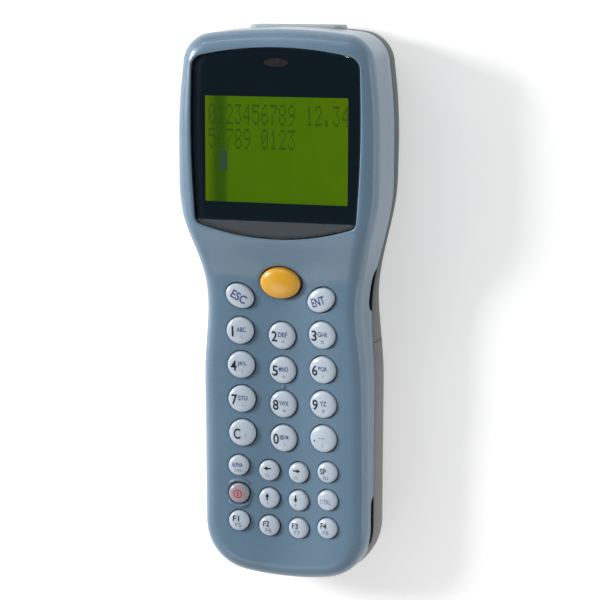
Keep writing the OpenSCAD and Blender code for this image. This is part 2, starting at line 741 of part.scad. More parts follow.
module battery_cells() {
    x = cell_d / 2 + cell_gap;
    color("SteelBlue") for (s = [-1, 1]) translate([s * x, 0, cell_z]) rotate([-90, 0, 0]) {
        translate([0, 0, cell_y0 + (s < 0 ? 0 : 1)]) cylinder(d = cell_d, h = cell_len - 1, $fn = 64);
        translate([0, 0, s < 0 ? cell_y0 + cell_len - 1 : cell_y0]) cylinder(r = 2.7, h = 1, $fn = 32);
    }
}

module battery_springs() {
    x = cell_d / 2 + cell_gap;
    color("Silver") for (s = [-1, 1]) translate([s * x, tray_y0, cell_z]) rotate([-90, 0, 0]) {
        cylinder(r = 5.4, h = 0.4, $fn = 32);
        rotate_extrude($fn = 32) polygon([[3.6, 0.4], [4.6, 0.4], [2.9, spring_l], [1.9, spring_l]]);
    }
}

module battery_plates() {
    color("Silver") translate([-tray_x + 1, tray_y1 - plate_t, cell_z - 5])
        cube([2 * tray_x - 2, plate_t, 10]);
}

module scan_engine() {
    color("DarkSlateGray") difference() {
        translate([-engine_w / 2, engine_y1 - engine_l, engine_z]) cube([engine_w, engine_l, engine_h]);
        translate([-window_w / 2 + 2, engine_y1 - 9, engine_z + 1.6]) cube([window_w - 4, 12, engine_h - 3.2]);
    }
}

module engine_bracket() {
    color("Silver") for (s = [-1, 1]) translate([s * (engine_w / 2 + 0.6) - 0.6, engine_y1 - engine_l + 4, wall + 0.05])
        cube([1.2, 12, engine_z + engine_h - wall - 1]);
}

module engine_flex() {
    color("Chocolate") translate([-6, engine_y1 - engine_l - 0.35, engine_z + 2])
        cube([12, 0.3, board_z - engine_z - 2]);
}

// ---- Fasteners, anchors and contacts ----

module case_screws() {
    color("Silver") for (p = SCREWS, s = [-1, 1]) translate([s * p[0], p[1], screw_head_z(p)]) {
        cylinder(r = screw_r - 0.05, h = face_z(p[0], p[1]) - wall - 1.2 - screw_head_z(p), $fn = 32);
        translate([0, 0, -1.4]) cylinder(r = 2, h = 1.4, $fn = 32);
    }
}

module board_screws() {
    color("Silver") for (x = [-post_x, post_x], s = [-1, 1])
        translate([x, screen_y + s * post_dy, lcd_board_z - 1.2]) {
            cylinder(r = 1.7, h = 1.2, $fn = 32);
            cylinder(r = 0.75, h = 4.4, $fn = 32);
        }
}

// Pins behind the upper strap openings, on the rear housing's floor
module strap_anchors() {
    y = (slot_y0 + slot_y1) / 2;
    color("Silver") intersection() {
        stack(rear_rings(wall + 0.05, 3, board_z - 0.3 - seam_z(y)));
        for (s = [-1, 1]) translate([s * (half_w(y) - wall - 3.2), y, 0]) cylinder(r = 1.4, h = 30, $fn = 16);
    }
}

module cradle_contacts() {
    color("Gold") for (i = [-2:2]) translate([i * 4, 66, 0.2]) cylinder(r = 1.2, h = 2.6, $fn = 32);
}

front_case();
rear_case();
battery_cover();
display_lens();
lens_mask();
lcd_panel();
lcd_frame();
backlight();
lcd_board();
lcd_flex();
indicator_light();
key_mat();
main_board();
board_chips();
buzzer();
backup_cell();
battery_cells();
battery_springs();
battery_plates();
scan_engine();
scan_window();
engine_bracket();
engine_flex();
case_screws();
board_screws();
strap_anchors();
cradle_contacts();
for (k = KEYS) key(k);
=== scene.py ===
import math

import bmesh
import bpy
import numpy as np
from mathutils import Matrix, Vector, geometry


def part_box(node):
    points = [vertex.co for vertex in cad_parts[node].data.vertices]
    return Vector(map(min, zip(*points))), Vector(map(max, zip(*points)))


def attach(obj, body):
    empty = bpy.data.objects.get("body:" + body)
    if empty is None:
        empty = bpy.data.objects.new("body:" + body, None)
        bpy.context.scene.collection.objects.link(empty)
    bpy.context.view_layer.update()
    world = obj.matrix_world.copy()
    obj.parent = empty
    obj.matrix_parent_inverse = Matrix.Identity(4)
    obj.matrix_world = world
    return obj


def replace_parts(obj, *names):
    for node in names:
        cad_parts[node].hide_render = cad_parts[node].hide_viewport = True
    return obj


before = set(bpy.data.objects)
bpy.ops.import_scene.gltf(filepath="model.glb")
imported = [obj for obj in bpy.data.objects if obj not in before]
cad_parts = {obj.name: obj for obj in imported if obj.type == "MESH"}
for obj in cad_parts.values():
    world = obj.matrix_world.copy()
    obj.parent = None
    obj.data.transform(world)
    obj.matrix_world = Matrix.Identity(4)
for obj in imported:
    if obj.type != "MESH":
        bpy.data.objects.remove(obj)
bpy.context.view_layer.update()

# ---- sizes of the body, in millimetres, as the solids have them ----
# _FROM and _RUN: where a change along the body begins, and the length that it takes
BODY_LEN, HEAD_W, CROWN_W, WAIST_W, GRIP_W = 183.2, 67.3, 64.0, 55.4, 58.8
GRIP_DEPTH, HEAD_RISE, WALL, CHAMFER = 22.8, 11.6, 1.9, 0.3
TOP_ARC, TOP_CORNER, BOTTOM_ARC, BOTTOM_CORNER = 180.0, 10.5, 75.0, 18.5
WAIST_Y, HEAD_Y, CROWN_Y, CROWN_RUN, GRIP_Y, NOSE_OUT = 3.0, 41.5, 55.0, 23.5, -24.0, 1.3
RIM_R, RIM_H, FACE_CURVE, BOWL_H, BOWL_FROM, BOWL_RUN = 6.0, 4.9, 0.0006, 1.9, -2.5, 30.0
RISE_Y, RAMP_Y, RAMP_END_Y = -71.5, 7.5, 31.5
GRIP_LEAN, HEAD_LEAN, LEAN_Z, LEAN_FROM, LEAN_RUN = 0.18, 0.03, 12.0, -6.0, 40.0
END_LEAN, END_FROM, END_RUN = 0.35, -89.0, 17.0
BACK_R, BACK_H, SCOOP_H, SCOOP_END_Y, COVER_WALL = 10.0, 9.0, 2.4, 56.0, 1.8
GRIP_SEAM, HEAD_SEAM, SEAM_FROM, SEAM_RUN, SEAM_GAP = 16.2, 13.6, -20.0, 45.0, 0.2
COVER_Y, SPLIT = -10.8, 0.15
END_Y = BODY_LEN / 2
TOP_Y = END_Y - NOSE_OUT
LENS_Z = GRIP_DEPTH + HEAD_RISE - 0.4
LENS_T, CREASE_Y, CREASE_SLOPE = 1.5, 29.7, 0.28
LENS_Y0, LENS_Y1, LENS_W0, LENS_W1, LENS_BOW = 24.0, 84.0, 53.2, 54.8, 0.74
LENS_ARC, LENS_CORNER, LENS_LOW_ARC, LENS_LOW_CORNER = 116.0, 4.0, 77.0, 2.7
SCREEN_W, SCREEN_H, SCREEN_Y, LED_Y = 47.0, 33.4, 52.1, 79.4
SCAN_Y, DISH_H, DISH_R, DISH_SHORT, DISH_DROP = 9.35, 0.9, 10.5, 0.83, 1.0
SLOTS = ((0.6, 12.4, 2.6), (12.4 - END_Y, 29 - END_Y, 2.0))  # strap openings: from, to, height
SLOT_END = 1.4  # length of an opening's rounded end, in heights of the opening
SIDE_Y0, SIDE_Y1 = -71.3, 78.1  # where the side lies between the corners
CHANNEL_X, DECK_Z, TRAY_X, TRAY_Y0 = WAIST_W / 2 - 2, 16.5, 15.2, 6.4 - END_Y
TRAY_Y1 = TRAY_Y0 + 54.0
WINDOW_W, WINDOW_H, WINDOW_Z = 26.0, 7.4, 8.2
CROWN_TURN = -math.atan((HEAD_W - CROWN_W) / CROWN_RUN)


def smooth(t):
    t = np.clip(t, 0, 1)
    return t * t * (3 - 2 * t)


# ---- form of the body ----


def half_w(y):
    return (WAIST_W / 2 + (HEAD_W - WAIST_W) / 2 * smooth((y - WAIST_Y) / (HEAD_Y - WAIST_Y))
            + (GRIP_W - WAIST_W) / 2 * smooth((WAIST_Y - y) / (WAIST_Y - GRIP_Y))
            - (HEAD_W - CROWN_W) / 2 * np.clip((y - CROWN_Y) / CROWN_RUN, 0, 1) ** 2)


def corner_centre(hw, arc_r, r):
    """Middle of a corner's circle, across and up from the lowest point of its end arc."""
    return hw - r, arc_r - math.sqrt((arc_r - r) ** 2 - (hw - r) ** 2)


def end_points(hw, arc_r, r, turn=0.0, n_arc=14, n_corner=12):
    cx, cy = corner_centre(hw, arc_r, r)
    a = math.atan2(cy - arc_r, cx)
    b, c = np.linspace(-math.pi / 2, a, n_arc, endpoint=False), np.linspace(a, turn, n_corner + 1)
    return np.concatenate([np.stack([arc_r * np.cos(b), arc_r + arc_r * np.sin(b)], 1),
                           np.stack([cx + r * np.cos(c), cy + r * np.sin(c)], 1)])


def side_places():
    """Where the side has points: evenly, and closer together at the strap openings and the cover's end."""
    marks = [COVER_Y, COVER_Y + SPLIT]
    for y0, y1, h in SLOTS:
        e = SLOT_END * h * np.sin(np.linspace(0, math.pi / 2, 8))
        marks += [m for m in (*(y0 + h - e), *(y1 - h + e)) if m > SIDE_Y0 + 0.3]
    even = np.linspace(SIDE_Y0, SIDE_Y1, 84)
    even = even[np.abs(even[:, None] - np.array(marks)).min(1) > 0.5]
    return np.sort(np.concatenate([even, marks]))


SIDE_Y = side_places()


def half_outline(d):
    low = end_points(GRIP_W / 2 - d, BOTTOM_ARC - d, BOTTOM_CORNER - d) + [0, d - END_Y]
    high = end_points(CROWN_W / 2 - d, TOP_ARC - d, TOP_CORNER - min(d, TOP_CORNER - 1), CROWN_TURN)
    high = np.column_stack([high[::-1, 0], TOP_Y - d - high[::-1, 1]])
    return np.concatenate([low, np.column_stack([half_w(SIDE_Y) - d, SIDE_Y]), high])


def mirrored(half):
    return np.concatenate([half, half[-2:0:-1] * [-1, 1]])


def outline(d):
    return mirrored(half_outline(d))


OUTLINE, CREST = outline(0), outline(RIM_R)


def drawn_in(ds):
    """The outline, drawn in by its own amount at each point."""
    return OUTLINE + (CREST - OUTLINE) * np.broadcast_to(np.asarray(ds, float) / RIM_R, len(OUTLINE))[:, None]


def inset(x, y):
    """How far a point lies inside the outline."""
    x = np.abs(np.asarray(x, float))
    d = half_w(y) - x
    for hw, arc_r, r, v, turn in ((GRIP_W / 2, BOTTOM_ARC, BOTTOM_CORNER, y + END_Y, 0.0),
                                  (CROWN_W / 2, TOP_ARC, TOP_CORNER, TOP_Y - y, CROWN_TURN)):
        cx, cy = corner_centre(hw, arc_r, r)
        angle = np.arctan2(v - cy, x - cx)
        in_corner = (angle >= math.atan2(cy - arc_r, cx)) & (angle <= turn)
        from_arc = arc_r - np.hypot(x, np.minimum(v - arc_r, 0))
        d = np.where(in_corner, r - np.hypot(x - cx, v - cy), np.minimum(d, from_arc))
    return d


def side_in(y, z):
    """How far the side wall leans in at a height: less at the head and at the bottom end."""
    lean = GRIP_LEAN + (HEAD_LEAN - GRIP_LEAN) * smooth((y - LEAN_FROM) / LEAN_RUN)
    at_end = END_LEAN + (1 - END_LEAN) * smooth((y - END_FROM) / END_RUN)
    return lean * at_end * np.maximum(z - LEAN_Z, 0)


def face_mid(y):
    """Height of the face along its middle: a slight hollow, then the ramp to the head."""
    run = RAMP_END_Y - RAMP_Y
    t = np.clip((y - RAMP_Y) / run, 0, 1)
    slope = 2 * FACE_CURVE * (RAMP_Y - RISE_Y)
    start = FACE_CURVE * (RAMP_Y - RISE_Y) ** 2
    on_ramp = GRIP_DEPTH + start + (HEAD_RISE - start) * smooth(t) + slope * run * t * (1 - t) ** 2
    return np.where(y <= RAMP_Y, GRIP_DEPTH + FACE_CURVE * np.maximum(y - RISE_Y, 0) ** 2, on_ramp)


def face_z(x, y):
    """Height of the face, which bends up towards the sides at the keys."""
    x, y = np.asarray(x, float), np.asarray(y, float)
    u = np.minimum(np.abs(x) / (half_w(y) - RIM_R), 1)
    bowl = BOWL_H * (1 - smooth((y - BOWL_FROM) / BOWL_RUN))
    return face_mid(y) + bowl * (1 - np.cos(np.pi * u)) / 2


def seam_z(y):
    """Height of the seam between the two housings."""
    return GRIP_SEAM + (HEAD_SEAM - GRIP_SEAM) * smooth((y - SEAM_FROM) / SEAM_RUN)


def rim_height(x, y):
    """Height of the rim's rounding, which gets lower where the side wall is low."""
    return np.minimum(RIM_H, face_z(x, y) - seam_z(y) - CHAMFER)


def surface_z(x, y):
    """Height of the front housing's whole upper surface: face, dish round the scan key, and rim."""
    z, h = face_z(x, y), rim_height(x, y)
    lean = side_in(y, z - h)
    c = np.clip(1 - (inset(x, y) - lean) / (RIM_R - lean), 0, 1)
    r = np.clip(np.hypot(x, (y - SCAN_Y + DISH_DROP) / DISH_SHORT) / DISH_R, 0, 1)
    dish = DISH_H * ((1 + np.cos(np.pi * r)) / 2) ** 1.2
    return z - h * (1 - np.sqrt(1 - c * c)) - dish


def back_z(y):
    """Height of the back along its middle: a shallow hollow for the fingers, above the cover."""
    t = np.clip((y - COVER_Y) / (SCOOP_END_Y - COVER_Y), 0, 1)
    return SCOOP_H * (1 - np.cos(2 * np.pi * t)) / 2


def back_surface(x, y):
    """Height of the whole back with its rounded edge."""
    c = np.clip(1 - inset(x, y) / BACK_R, 0, 1)
    return back_z(y) + BACK_H * (1 - np.sqrt(1 - c * c))


def notch(y):
    """How far the front housing's lower edge is raised along the strap openings."""
    z = np.zeros(len(y))
    for y0, y1, h in SLOTS:
        out = np.maximum(np.maximum(y0 + h - y, y - y1 + h), 0) / (SLOT_END * h)
        z += h * np.sqrt(np.clip(1 - out ** 2, 0, 1))
    return z


# ---- mesh helpers ----


def put(name, data):
    o = bpy.data.objects.new(name, data)
    bpy.context.scene.collection.objects.link(o)
    return o


def make(name, verts, faces, body="housing", mats=(), face_mats=None, sharp=None, smooth_shade=True):
    """An object from points in millimetres; sharp is the least angle of its hard edges."""
    me = bpy.data.meshes.new(name)
    points = [tuple(v) for v in np.asarray(verts, float) / 1000.0]
    me.from_pydata(points, [], [tuple(int(i) for i in f) for f in faces])
    me.polygons.foreach_set("use_smooth", [smooth_shade] * len(me.polygons))
    for m in mats:
        me.materials.append(m)
    if face_mats is not None:
        me.polygons.foreach_set("material_index", face_mats)
    if sharp is not None:
        me.set_sharp_from_angle(angle=math.radians(sharp))
    o = put(name, me)
    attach(o, body)
    return o


class Build:
    """Collects points and faces, and joins points that fall together."""

    def __init__(self):
        self.v, self.f, self.m, self.key = [], [], [], {}

    def point(self, p):
        k = (round(p[0] * 2000), round(p[1] * 2000), round(p[2] * 2000))
        if k not in self.key:
            self.key[k] = len(self.v)
            self.v.append((float(p[0]), float(p[1]), float(p[2])))
        return self.key[k]

    def face(self, pts, mat=0):
        ids = list(dict.fromkeys(self.point(p) for p in pts))
        if len(ids) > 2:
            self.f.append(ids)
            self.m.append(mat)

    def rings(self, rings, closed=True, flip=False, mat=0):
        """Strips between rings of points, facing outwards where the rings run anticlockwise and upwards."""
        mats = np.broadcast_to(mat, len(rings[0]))
        for a, b in zip(rings[:-1], rings[1:]):
            n = len(a)
            for i in range(n if closed else n - 1):
                j = (i + 1) % n
                q = [a[i], a[j], b[j], b[i]]
                self.face(q[::-1] if flip else q, int(mats[i]))

    def prism(self, loop, z0, z1, mat=0):
        """Upright solid over an anticlockwise loop; z0 may be a height for each point."""
        low = np.column_stack([loop, np.broadcast_to(z0, len(loop))])
        high = np.column_stack([loop, np.full(len(loop), z1)])
        self.rings([low, high], mat=mat)
        self.face(high, mat)
        self.face(low[::-1], mat)


def inside(pts, poly):
    """Which points lie inside the polygon."""
    x, y = pts[:, 0], pts[:, 1]
    res = np.zeros(len(pts), bool)
    for (a, b), (c, d) in zip(poly, np.roll(poly, -1, 0)):
        if b != d:
            res ^= ((b > y) != (d > y)) & (x < (c - a) * (y - b) / (d - b) + a)
    return res


def near(pts, loop, dist):
    """Which points lie closer than dist to the loop's edges."""
    close = np.zeros(len(pts), bool)
    for p, q in zip(loop, np.roll(loop, -1, 0)):
        d = q - p
        t = np.clip(((pts - p) @ d) / max(float(d @ d), 1e-9), 0, 1)
        close |= np.hypot(*(pts - p - t[:, None] * d).T) < dist
    return close


def sheet(outer, holes, step, extra=()):
    """Triangles that fill the outline outside the holes, through the extra points and an even grid."""
    lo, hi = outer.min(0), outer.max(0)
    grid = np.array([(x, y) for k, y in enumerate(np.arange(lo[1], hi[1], step * 0.87))
                     for x in np.arange(lo[0] + (step / 2 if k % 2 else 0), hi[0], step)])
    if len(extra):
        extra = np.asarray(extra)
        extra = extra[inside(extra, outer) & ~near(extra, outer, 0.25)]
        for rows in np.array_split(np.arange(len(grid)), 40):
            gap = np.abs(grid[rows][:, None] - extra[None]).max(2).min(1)
            grid[rows[gap < step * 0.55]] = lo - 9
    grid = grid[inside(grid, outer) & ~near(grid, outer, step * 0.5)]

    def outside_holes(g, gap):
        for h in holes:
            box = (np.abs(g - h.mean(0)) < np.abs(h - h.mean(0)).max(0) + step * 2).all(1)
            keep = np.ones(len(g), bool)
            if box.any():
                keep[box] = ~inside(g[box], h) & ~near(g[box], h, gap)
            g = g[keep]
        return g

    loops = [outer] + holes
    parts = loops + [outside_holes(grid, step * 0.45)] + ([outside_holes(extra, 0.25)] if len(extra) else [])
    edges, n = [], 0
    for l in loops:
        edges += [(n + i, n + (i + 1) % len(l)) for i in range(len(l))]
        n += len(l)
    out = geometry.delaunay_2d_cdt([Vector(p) for p in np.concatenate(parts)], edges, [], 0, 1e-5)
    v = np.array([tuple(p) for p in out[0]])
    tri = np.array([t for t in out[2] if len(t) == 3])
    c = v[tri].mean(1)
    ok = inside(c, outer)
    for h in holes:
        ok &= ~inside(c, h)
    tri = tri[ok]
    d1, d2 = v[tri[:, 1]] - v[tri[:, 0]], v[tri[:, 2]] - v[tri[:, 0]]
    area = d1[:, 0] * d2[:, 1] - d1[:, 1] * d2[:, 0]
    tri[area < 0] = tri[area < 0][:, ::-1]
    return v, tri[np.abs(area) > 1e-7]


def over(loop, z):
    """A loop of points at the height that z gives, which is a number or a function of x and y."""
    return np.column_stack([loop, z(loop[:, 0], loop[:, 1]) if callable(z) else np.full(len(loop), float(z))])


def at_edge(v, z, edge):
    """Points v at the heights z, and those on the edge at the edge's own place."""
    v = np.column_stack([v, z])
    gap = np.abs(v[:, None, :2] - edge[None, :, :2]).max(2)
    i = gap.argmin(1)
    on = gap.min(1) < 1e-3
    v[on] = edge[i[on]]
    return v


def let_out(loop, c):
    """The loop let out by c along its own normals."""
    t = np.roll(loop, -1, 0) - np.roll(loop, 1, 0)
    n = np.stack([t[:, 1], -t[:, 0]], 1)
    return loop + n / np.linalg.norm(n, axis=1)[:, None] * c


def rotated(x, y, turn):
    """Points at x and y, turned anticlockwise round the origin by an angle in degrees."""
    t = math.radians(turn)
    return np.stack([x * math.cos(t) - y * math.sin(t), x * math.sin(t) + y * math.cos(t)], 1)


def ellipse(w, l, turn=0.0, n=48):
    a = np.linspace(0, 2 * np.pi, n, endpoint=False)
    return rotated(w / 2 * np.cos(a), l / 2 * np.sin(a), turn)


def rounded_box(w, h, r, n=8):
    """A rectangle with rounded corners round the origin, anticlockwise."""
    pts = []
    for sx, sy, a0 in ((1, -1, -90), (1, 1, 0), (-1, 1, 90), (-1, -1, 180)):
        a = np.radians(a0 + np.linspace(0, 90, n))
        pts.append(np.stack([sx * (w / 2 - r) + r * np.cos(a), sy * (h / 2 - r) + r * np.sin(a)], 1))
    return np.concatenate(pts)


# ---- materials ----


def srgb(r, g, b):
    return tuple(((c / 255 + 0.055) / 1.055) ** 2.4 if c > 10 else c / 255 / 12.92 for c in (r, g, b))


def shades(colour, low, high):
    return [(0.3, tuple(c * low for c in colour)), (0.7, tuple(min(c * high, 1) for c in colour))]


class Mat:
    """A procedural material: small helpers round its node tree."""

    def __init__(self, name, colour, rough=0.5, **sockets):
        self.m = bpy.data.materials.new(name)
        self.m.use_nodes = True
        self.nt = self.m.node_tree
        self.b = self.nt.nodes["Principled BSDF"]
        self.b.inputs["Base Color"].default_value = (*colour, 1)
        self.b.inputs["Roughness"].default_value = rough
        for k, v in sockets.items():
            self.b.inputs[k.replace("_", " ")].default_value = v

    def link(self, a, b):
        self.nt.links.new(a, b)

    def noise(self, scale, detail=3.0, rough=0.5):
        n = self.nt.nodes.new("ShaderNodeTexNoise")
        n.inputs["Scale"].default_value = scale
        n.inputs["Detail"].default_value = detail
        n.inputs["Roughness"].default_value = rough
        self.link(self.nt.nodes.new("ShaderNodeTexCoord").outputs["Object"], n.inputs["Vector"])
        return n.outputs["Fac"]

    def ramp(self, src, stops):
        r = self.nt.nodes.new("ShaderNodeValToRGB")
        while len(r.color_ramp.elements) < len(stops):
            r.color_ramp.elements.new(0.5)
        for e, (p, c) in zip(r.color_ramp.elements, stops):
            e.position, e.color = p, (*c, 1)
        self.link(src, r.inputs["Fac"])
        return r.outputs["Color"]

    def along(self, axis, lo, hi):
        """0 to 1 between two places along an axis of the body, in millimetres."""
        sep, m = self.nt.nodes.new("ShaderNodeSeparateXYZ"), self.nt.nodes.new("ShaderNodeMapRange")
        self.link(self.nt.nodes.new("ShaderNodeTexCoord").outputs["Object"], sep.inputs["Vector"])
        m.inputs["From Min"].default_value, m.inputs["From Max"].default_value = lo / 1000, hi / 1000
        self.link(sep.outputs[axis], m.inputs["Value"])
        return m.outputs["Result"]

    def mix(self, fac, a, b, blend="MIX"):
        m = self.nt.nodes.new("ShaderNodeMix")
        m.data_type, m.blend_type = "RGBA", blend
        for sock, val in ((m.inputs["Factor"], fac), (m.inputs[6], a), (m.inputs[7], b)):
            if isinstance(val, bpy.types.NodeSocket):
                self.link(val, sock)
            else:
                sock.default_value = (*val, 1) if isinstance(val, tuple) else val
        return m.outputs[2]

    def roughness(self, src, lo, hi):
        m = self.nt.nodes.new("ShaderNodeMapRange")
        m.inputs["To Min"].default_value, m.inputs["To Max"].default_value = lo, hi
        self.link(src, m.inputs["Value"])
        self.link(m.outputs["Result"], self.b.inputs["Roughness"])

    def bump(self, src, strength, distance=0.00006):
        n = self.nt.nodes.new("ShaderNodeBump")
        n.inputs["Strength"].default_value, n.inputs["Distance"].default_value = strength, distance
        self.link(src, n.inputs["Height"])
        self.link(n.outputs["Normal"], self.b.inputs["Normal"])

    def colour(self, src):
        self.link(src, self.b.inputs["Base Color"])
        return self.m


def paint(name, base, spread, rough, grain, speck, painted_light_end=None, **sockets):
    """Moulded plastic or satin paint: soft colour variation, small specks and a fine grain.

    An optional second colour, which the base turns into towards the bottom end, is painted light: a lighter
    colour that stands in for the brighter light there."""
    p = Mat(name, base, **sockets)
    big, fine = p.noise(38, 2), p.noise(2600, 2, 0.6)
    # the lighter colour towards the bottom end is painted light
    col = p.mix(p.along("Y", 30, -45), base, painted_light_end) if painted_light_end else base
    col = p.mix(1.0, col, p.ramp(big, [(0.3, (1 - spread,) * 3), (0.7, (1 + spread,) * 3)]), "MULTIPLY")
    specks = p.ramp(fine, [(0.34, (0.72, 0.74, 0.76)), (0.5, (1, 1, 1))])
    p.roughness(big, *rough)
    p.bump(fine, grain)
    return p.colour(p.mix(speck, col, specks, "MULTIPLY"))


def plain(name, colour, rough, metal=0.0, scale=900, spread=0.12, grain=0.05, **sockets):
    """Any smaller piece: its colour and gloss vary a little over the surface."""
    p = Mat(name, colour, rough, Metallic=metal, **sockets)
    n = p.noise(scale, 3, 0.55)
    p.roughness(n, max(rough - 0.05, 0), rough + 0.05)
    if grain:
        p.bump(n, grain)
    return p.colour(p.ramp(n, shades(colour, 1 - spread, 1 + spread)))


M_BLUE = paint("blue_paint", srgb(106, 134, 156), 0.05, (0.30, 0.38), 0.04, 0.4,
               Coat_Weight=0.4, Coat_Roughness=0.1)
# the grey turns lighter towards the bottom end: painted light for the brighter light on the lower back and
# the battery cover
M_GREY = paint("grey_plastic", srgb(88, 98, 100), 0.06, (0.5, 0.6), 0.12, 0.3, painted_light_end=srgb(136, 136, 133))
M_INNER = paint("inner_plastic", srgb(60, 66, 70), 0.1, (0.6, 0.7), 0.1, 0.2)
# Pale grey-green surround: partly its own paler plastic, partly painted light for the brightly lit top of the
# nose.
M_NOSE = paint("window_surround", srgb(176, 190, 188), 0.04, (0.4, 0.5), 0.06, 0.2)
M_KEY = paint("key_paint", srgb(194, 207, 220), 0.02, (0.26, 0.32), 0.01, 0.08,
              Coat_Weight=0.6, Coat_Roughness=0.05)
M_ROSE = paint("rose_key_paint", srgb(160, 156, 164), 0.02, (0.26, 0.32), 0.01, 0.08,
               Coat_Weight=0.5, Coat_Roughness=0.1)
M_BLACK = plain("black_plastic", (0.012, 0.013, 0.015), 0.45)
# Painted shade: near-black for places where only the hollow inside would show: behind the strap openings, on
# the housings' ledge at the openings, and on the strap anchors.
M_SHADOW = plain("painted_shade_black", (0.004, 0.005, 0.006), 0.8)
M_STEEL = plain("plated_steel", (0.62, 0.62, 0.60), 0.3, 1.0, 300, 0.06)
M_SCREW = plain("blackened_screw", (0.10, 0.10, 0.11), 0.4, 1.0, 300, 0.06)
M_GOLD = plain("gold_pad", (0.83, 0.60, 0.22), 0.25, 1.0, 400, 0.05)
M_BOARD = plain("solder_mask", (0.02, 0.12, 0.05), 0.35, 0, 200, 0.2)
M_RUBBER = plain("mat_silicone", (0.45, 0.46, 0.45), 0.6, 0, 500, 0.05)
M_FLEX = plain("flex_film", (0.35, 0.17, 0.03), 0.35, 0, 300, 0.1)
M_CELL = plain("cell_jacket", (0.02, 0.06, 0.16), 0.25, 0, 60, 0.15, Coat_Weight=0.5)
M_GUIDE = plain("light_guide", (0.8, 0.82, 0.7), 0.3, 0, 200, 0.03)
M_WINDOW = plain("scan_filter", (0.05, 0.002, 0.004), 0.06, 0, 30, 0.1, 0, Coat_Weight=0.6)
M_LEGEND = plain("black_print", srgb(14, 18, 26), 0.5, 0, 3000, 0.2, 0)
M_NAVY = plain("navy_print", srgb(62, 66, 122), 0.5, 0, 3000, 0.15, 0)
M_PALE = plain("pale_print", srgb(132, 138, 166), 0.5, 0, 3000, 0.1, 0)
M_RED = plain("red_print", srgb(206, 52, 44), 0.45, 0, 3000, 0.1, 0)
DOT_INK, CURSOR_INK = srgb(46, 72, 14), srgb(45, 76, 58)
# The screen's dots and cursor glow too: painted light, as on the screen itself.
M_DOTS = plain("screen_print", DOT_INK, 0.6, 0, 3000, 0.1, 0,
               Emission_Color=(*DOT_INK, 1), Emission_Strength=0.8)
M_CURSOR = plain("screen_cursor", CURSOR_INK, 0.5, 0, 400, 0.1, 0,
                 Emission_Color=(*CURSOR_INK, 1), Emission_Strength=0.8)
M_LED = plain("indicator_red", srgb(158, 134, 142), 0.3, 0, 700, 0.3, 0, Coat_Weight=0.3)


def amber_material():
    """Scan key: an amber painted dome, with painted shade, a brown colour, round the lowest part of its
    flank.
    """
    p = Mat("amber_key", srgb(232, 172, 46), 0.25, Coat_Weight=0.5, Coat_Roughness=0.08)
    face = p.ramp(p.noise(120), [(0.25, srgb(226, 164, 38)), (0.75, srgb(236, 178, 56))])
    # below this height the flank turns brown: painted shade for the flank, which the upper-left light leaves
    # in shade
    high = p.along("Z", Z_SCAN + 0.75, Z_SCAN + 1.1)
    return p.colour(p.mix(high, srgb(146, 108, 88), face))


def mask_material():
    """Black print behind the lens, faintly mottled, with a faint blue glow that is painted light for the
    light the lens holds back.
    """
    p = Mat("lens_print", srgb(14, 31, 44), 0.4)
    n = p.noise(45, 4, 0.6)
    p.bump(n, 0.02, 0.0001)
    # a faint blue glow: painted light, as the print is no lamp
    p.b.inputs["Emission Color"].default_value = (0, 0.5, 1, 1)
    p.b.inputs["Emission Strength"].default_value = 0.009
    return p.colour(p.ramp(n, [(0.3, srgb(12, 29, 41)), (0.7, srgb(16, 33, 47))]))


def screen_material():
    """Yellow-green screen with a darker band near its left edge, and a glow of painted light that stands in
    for the light the lens holds back.
    """
    p = Mat("screen_face", srgb(74, 108, 3), 0.42, Specular_IOR_Level=0.05)
    across = p.ramp(p.along("X", -SCREEN_W / 2, SCREEN_W / 2),
                    [(0.0, srgb(90, 112, 4)), (0.03, srgb(76, 104, 3)), (0.08, srgb(50, 82, 8)),
                     (0.13, srgb(52, 84, 8)), (0.17, srgb(74, 108, 4)), (0.55, srgb(72, 109, 3)),
                     (1.0, srgb(79, 110, 3))])
    up = p.ramp(p.along("Y", SCREEN_Y - SCREEN_H / 2, SCREEN_Y + SCREEN_H / 2),
                [(0.0, (0.84, 0.9, 0.9)), (0.05, (0.93, 0.95, 0.95)), (0.8, (0.98, 0.98, 1)),
                 (0.97, (1, 1, 1))])
    even = p.mix(1.0, across, up, "MULTIPLY")
    col = p.mix(1.0, even, p.ramp(p.noise(160, 3, 0.6), shades((1, 1, 1), 0.95, 1)), "MULTIPLY")
    # the glow is painted light: it brightens the screen where the lens holds light back
    p.link(col, p.b.inputs["Emission Color"])
    p.b.inputs["Emission Strength"].default_value = 0.95
    return p.colour(col)


def lens_material():
    """Clear polished lens: lets the print and the screen through and adds a gloss."""
    p = Mat("clear_lens", (1, 1, 1))
    p.nt.nodes.remove(p.b)
    clear, gloss, fresnel, both = (p.nt.nodes.new("ShaderNode" + t)
                                   for t in ("BsdfTransparent", "BsdfGlossy", "Fresnel", "MixShader"))
    tint = p.ramp(p.noise(25, 2), [(0.3, (0.95, 0.965, 0.97)), (0.7, (0.965, 0.98, 0.985))])
    p.link(tint, clear.inputs["Color"])
    gloss.inputs["Roughness"].default_value = 0.04
    fresnel.inputs["IOR"].default_value = 1.49
    for a, b in ((fresnel.outputs["Fac"], both.inputs["Fac"]), (clear.outputs["BSDF"], both.inputs[1]),
                 (gloss.outputs["BSDF"], both.inputs[2]),
                 (both.outputs["Shader"], p.nt.nodes["Material Output"].inputs["Surface"])):
        p.link(a, b)
    return p.m


Z_SCAN = float(face_z(0, SCAN_Y))
M_AMBER, M_MASK, M_SCREEN, M_LENS = amber_material(), mask_material(), screen_material(), lens_material()

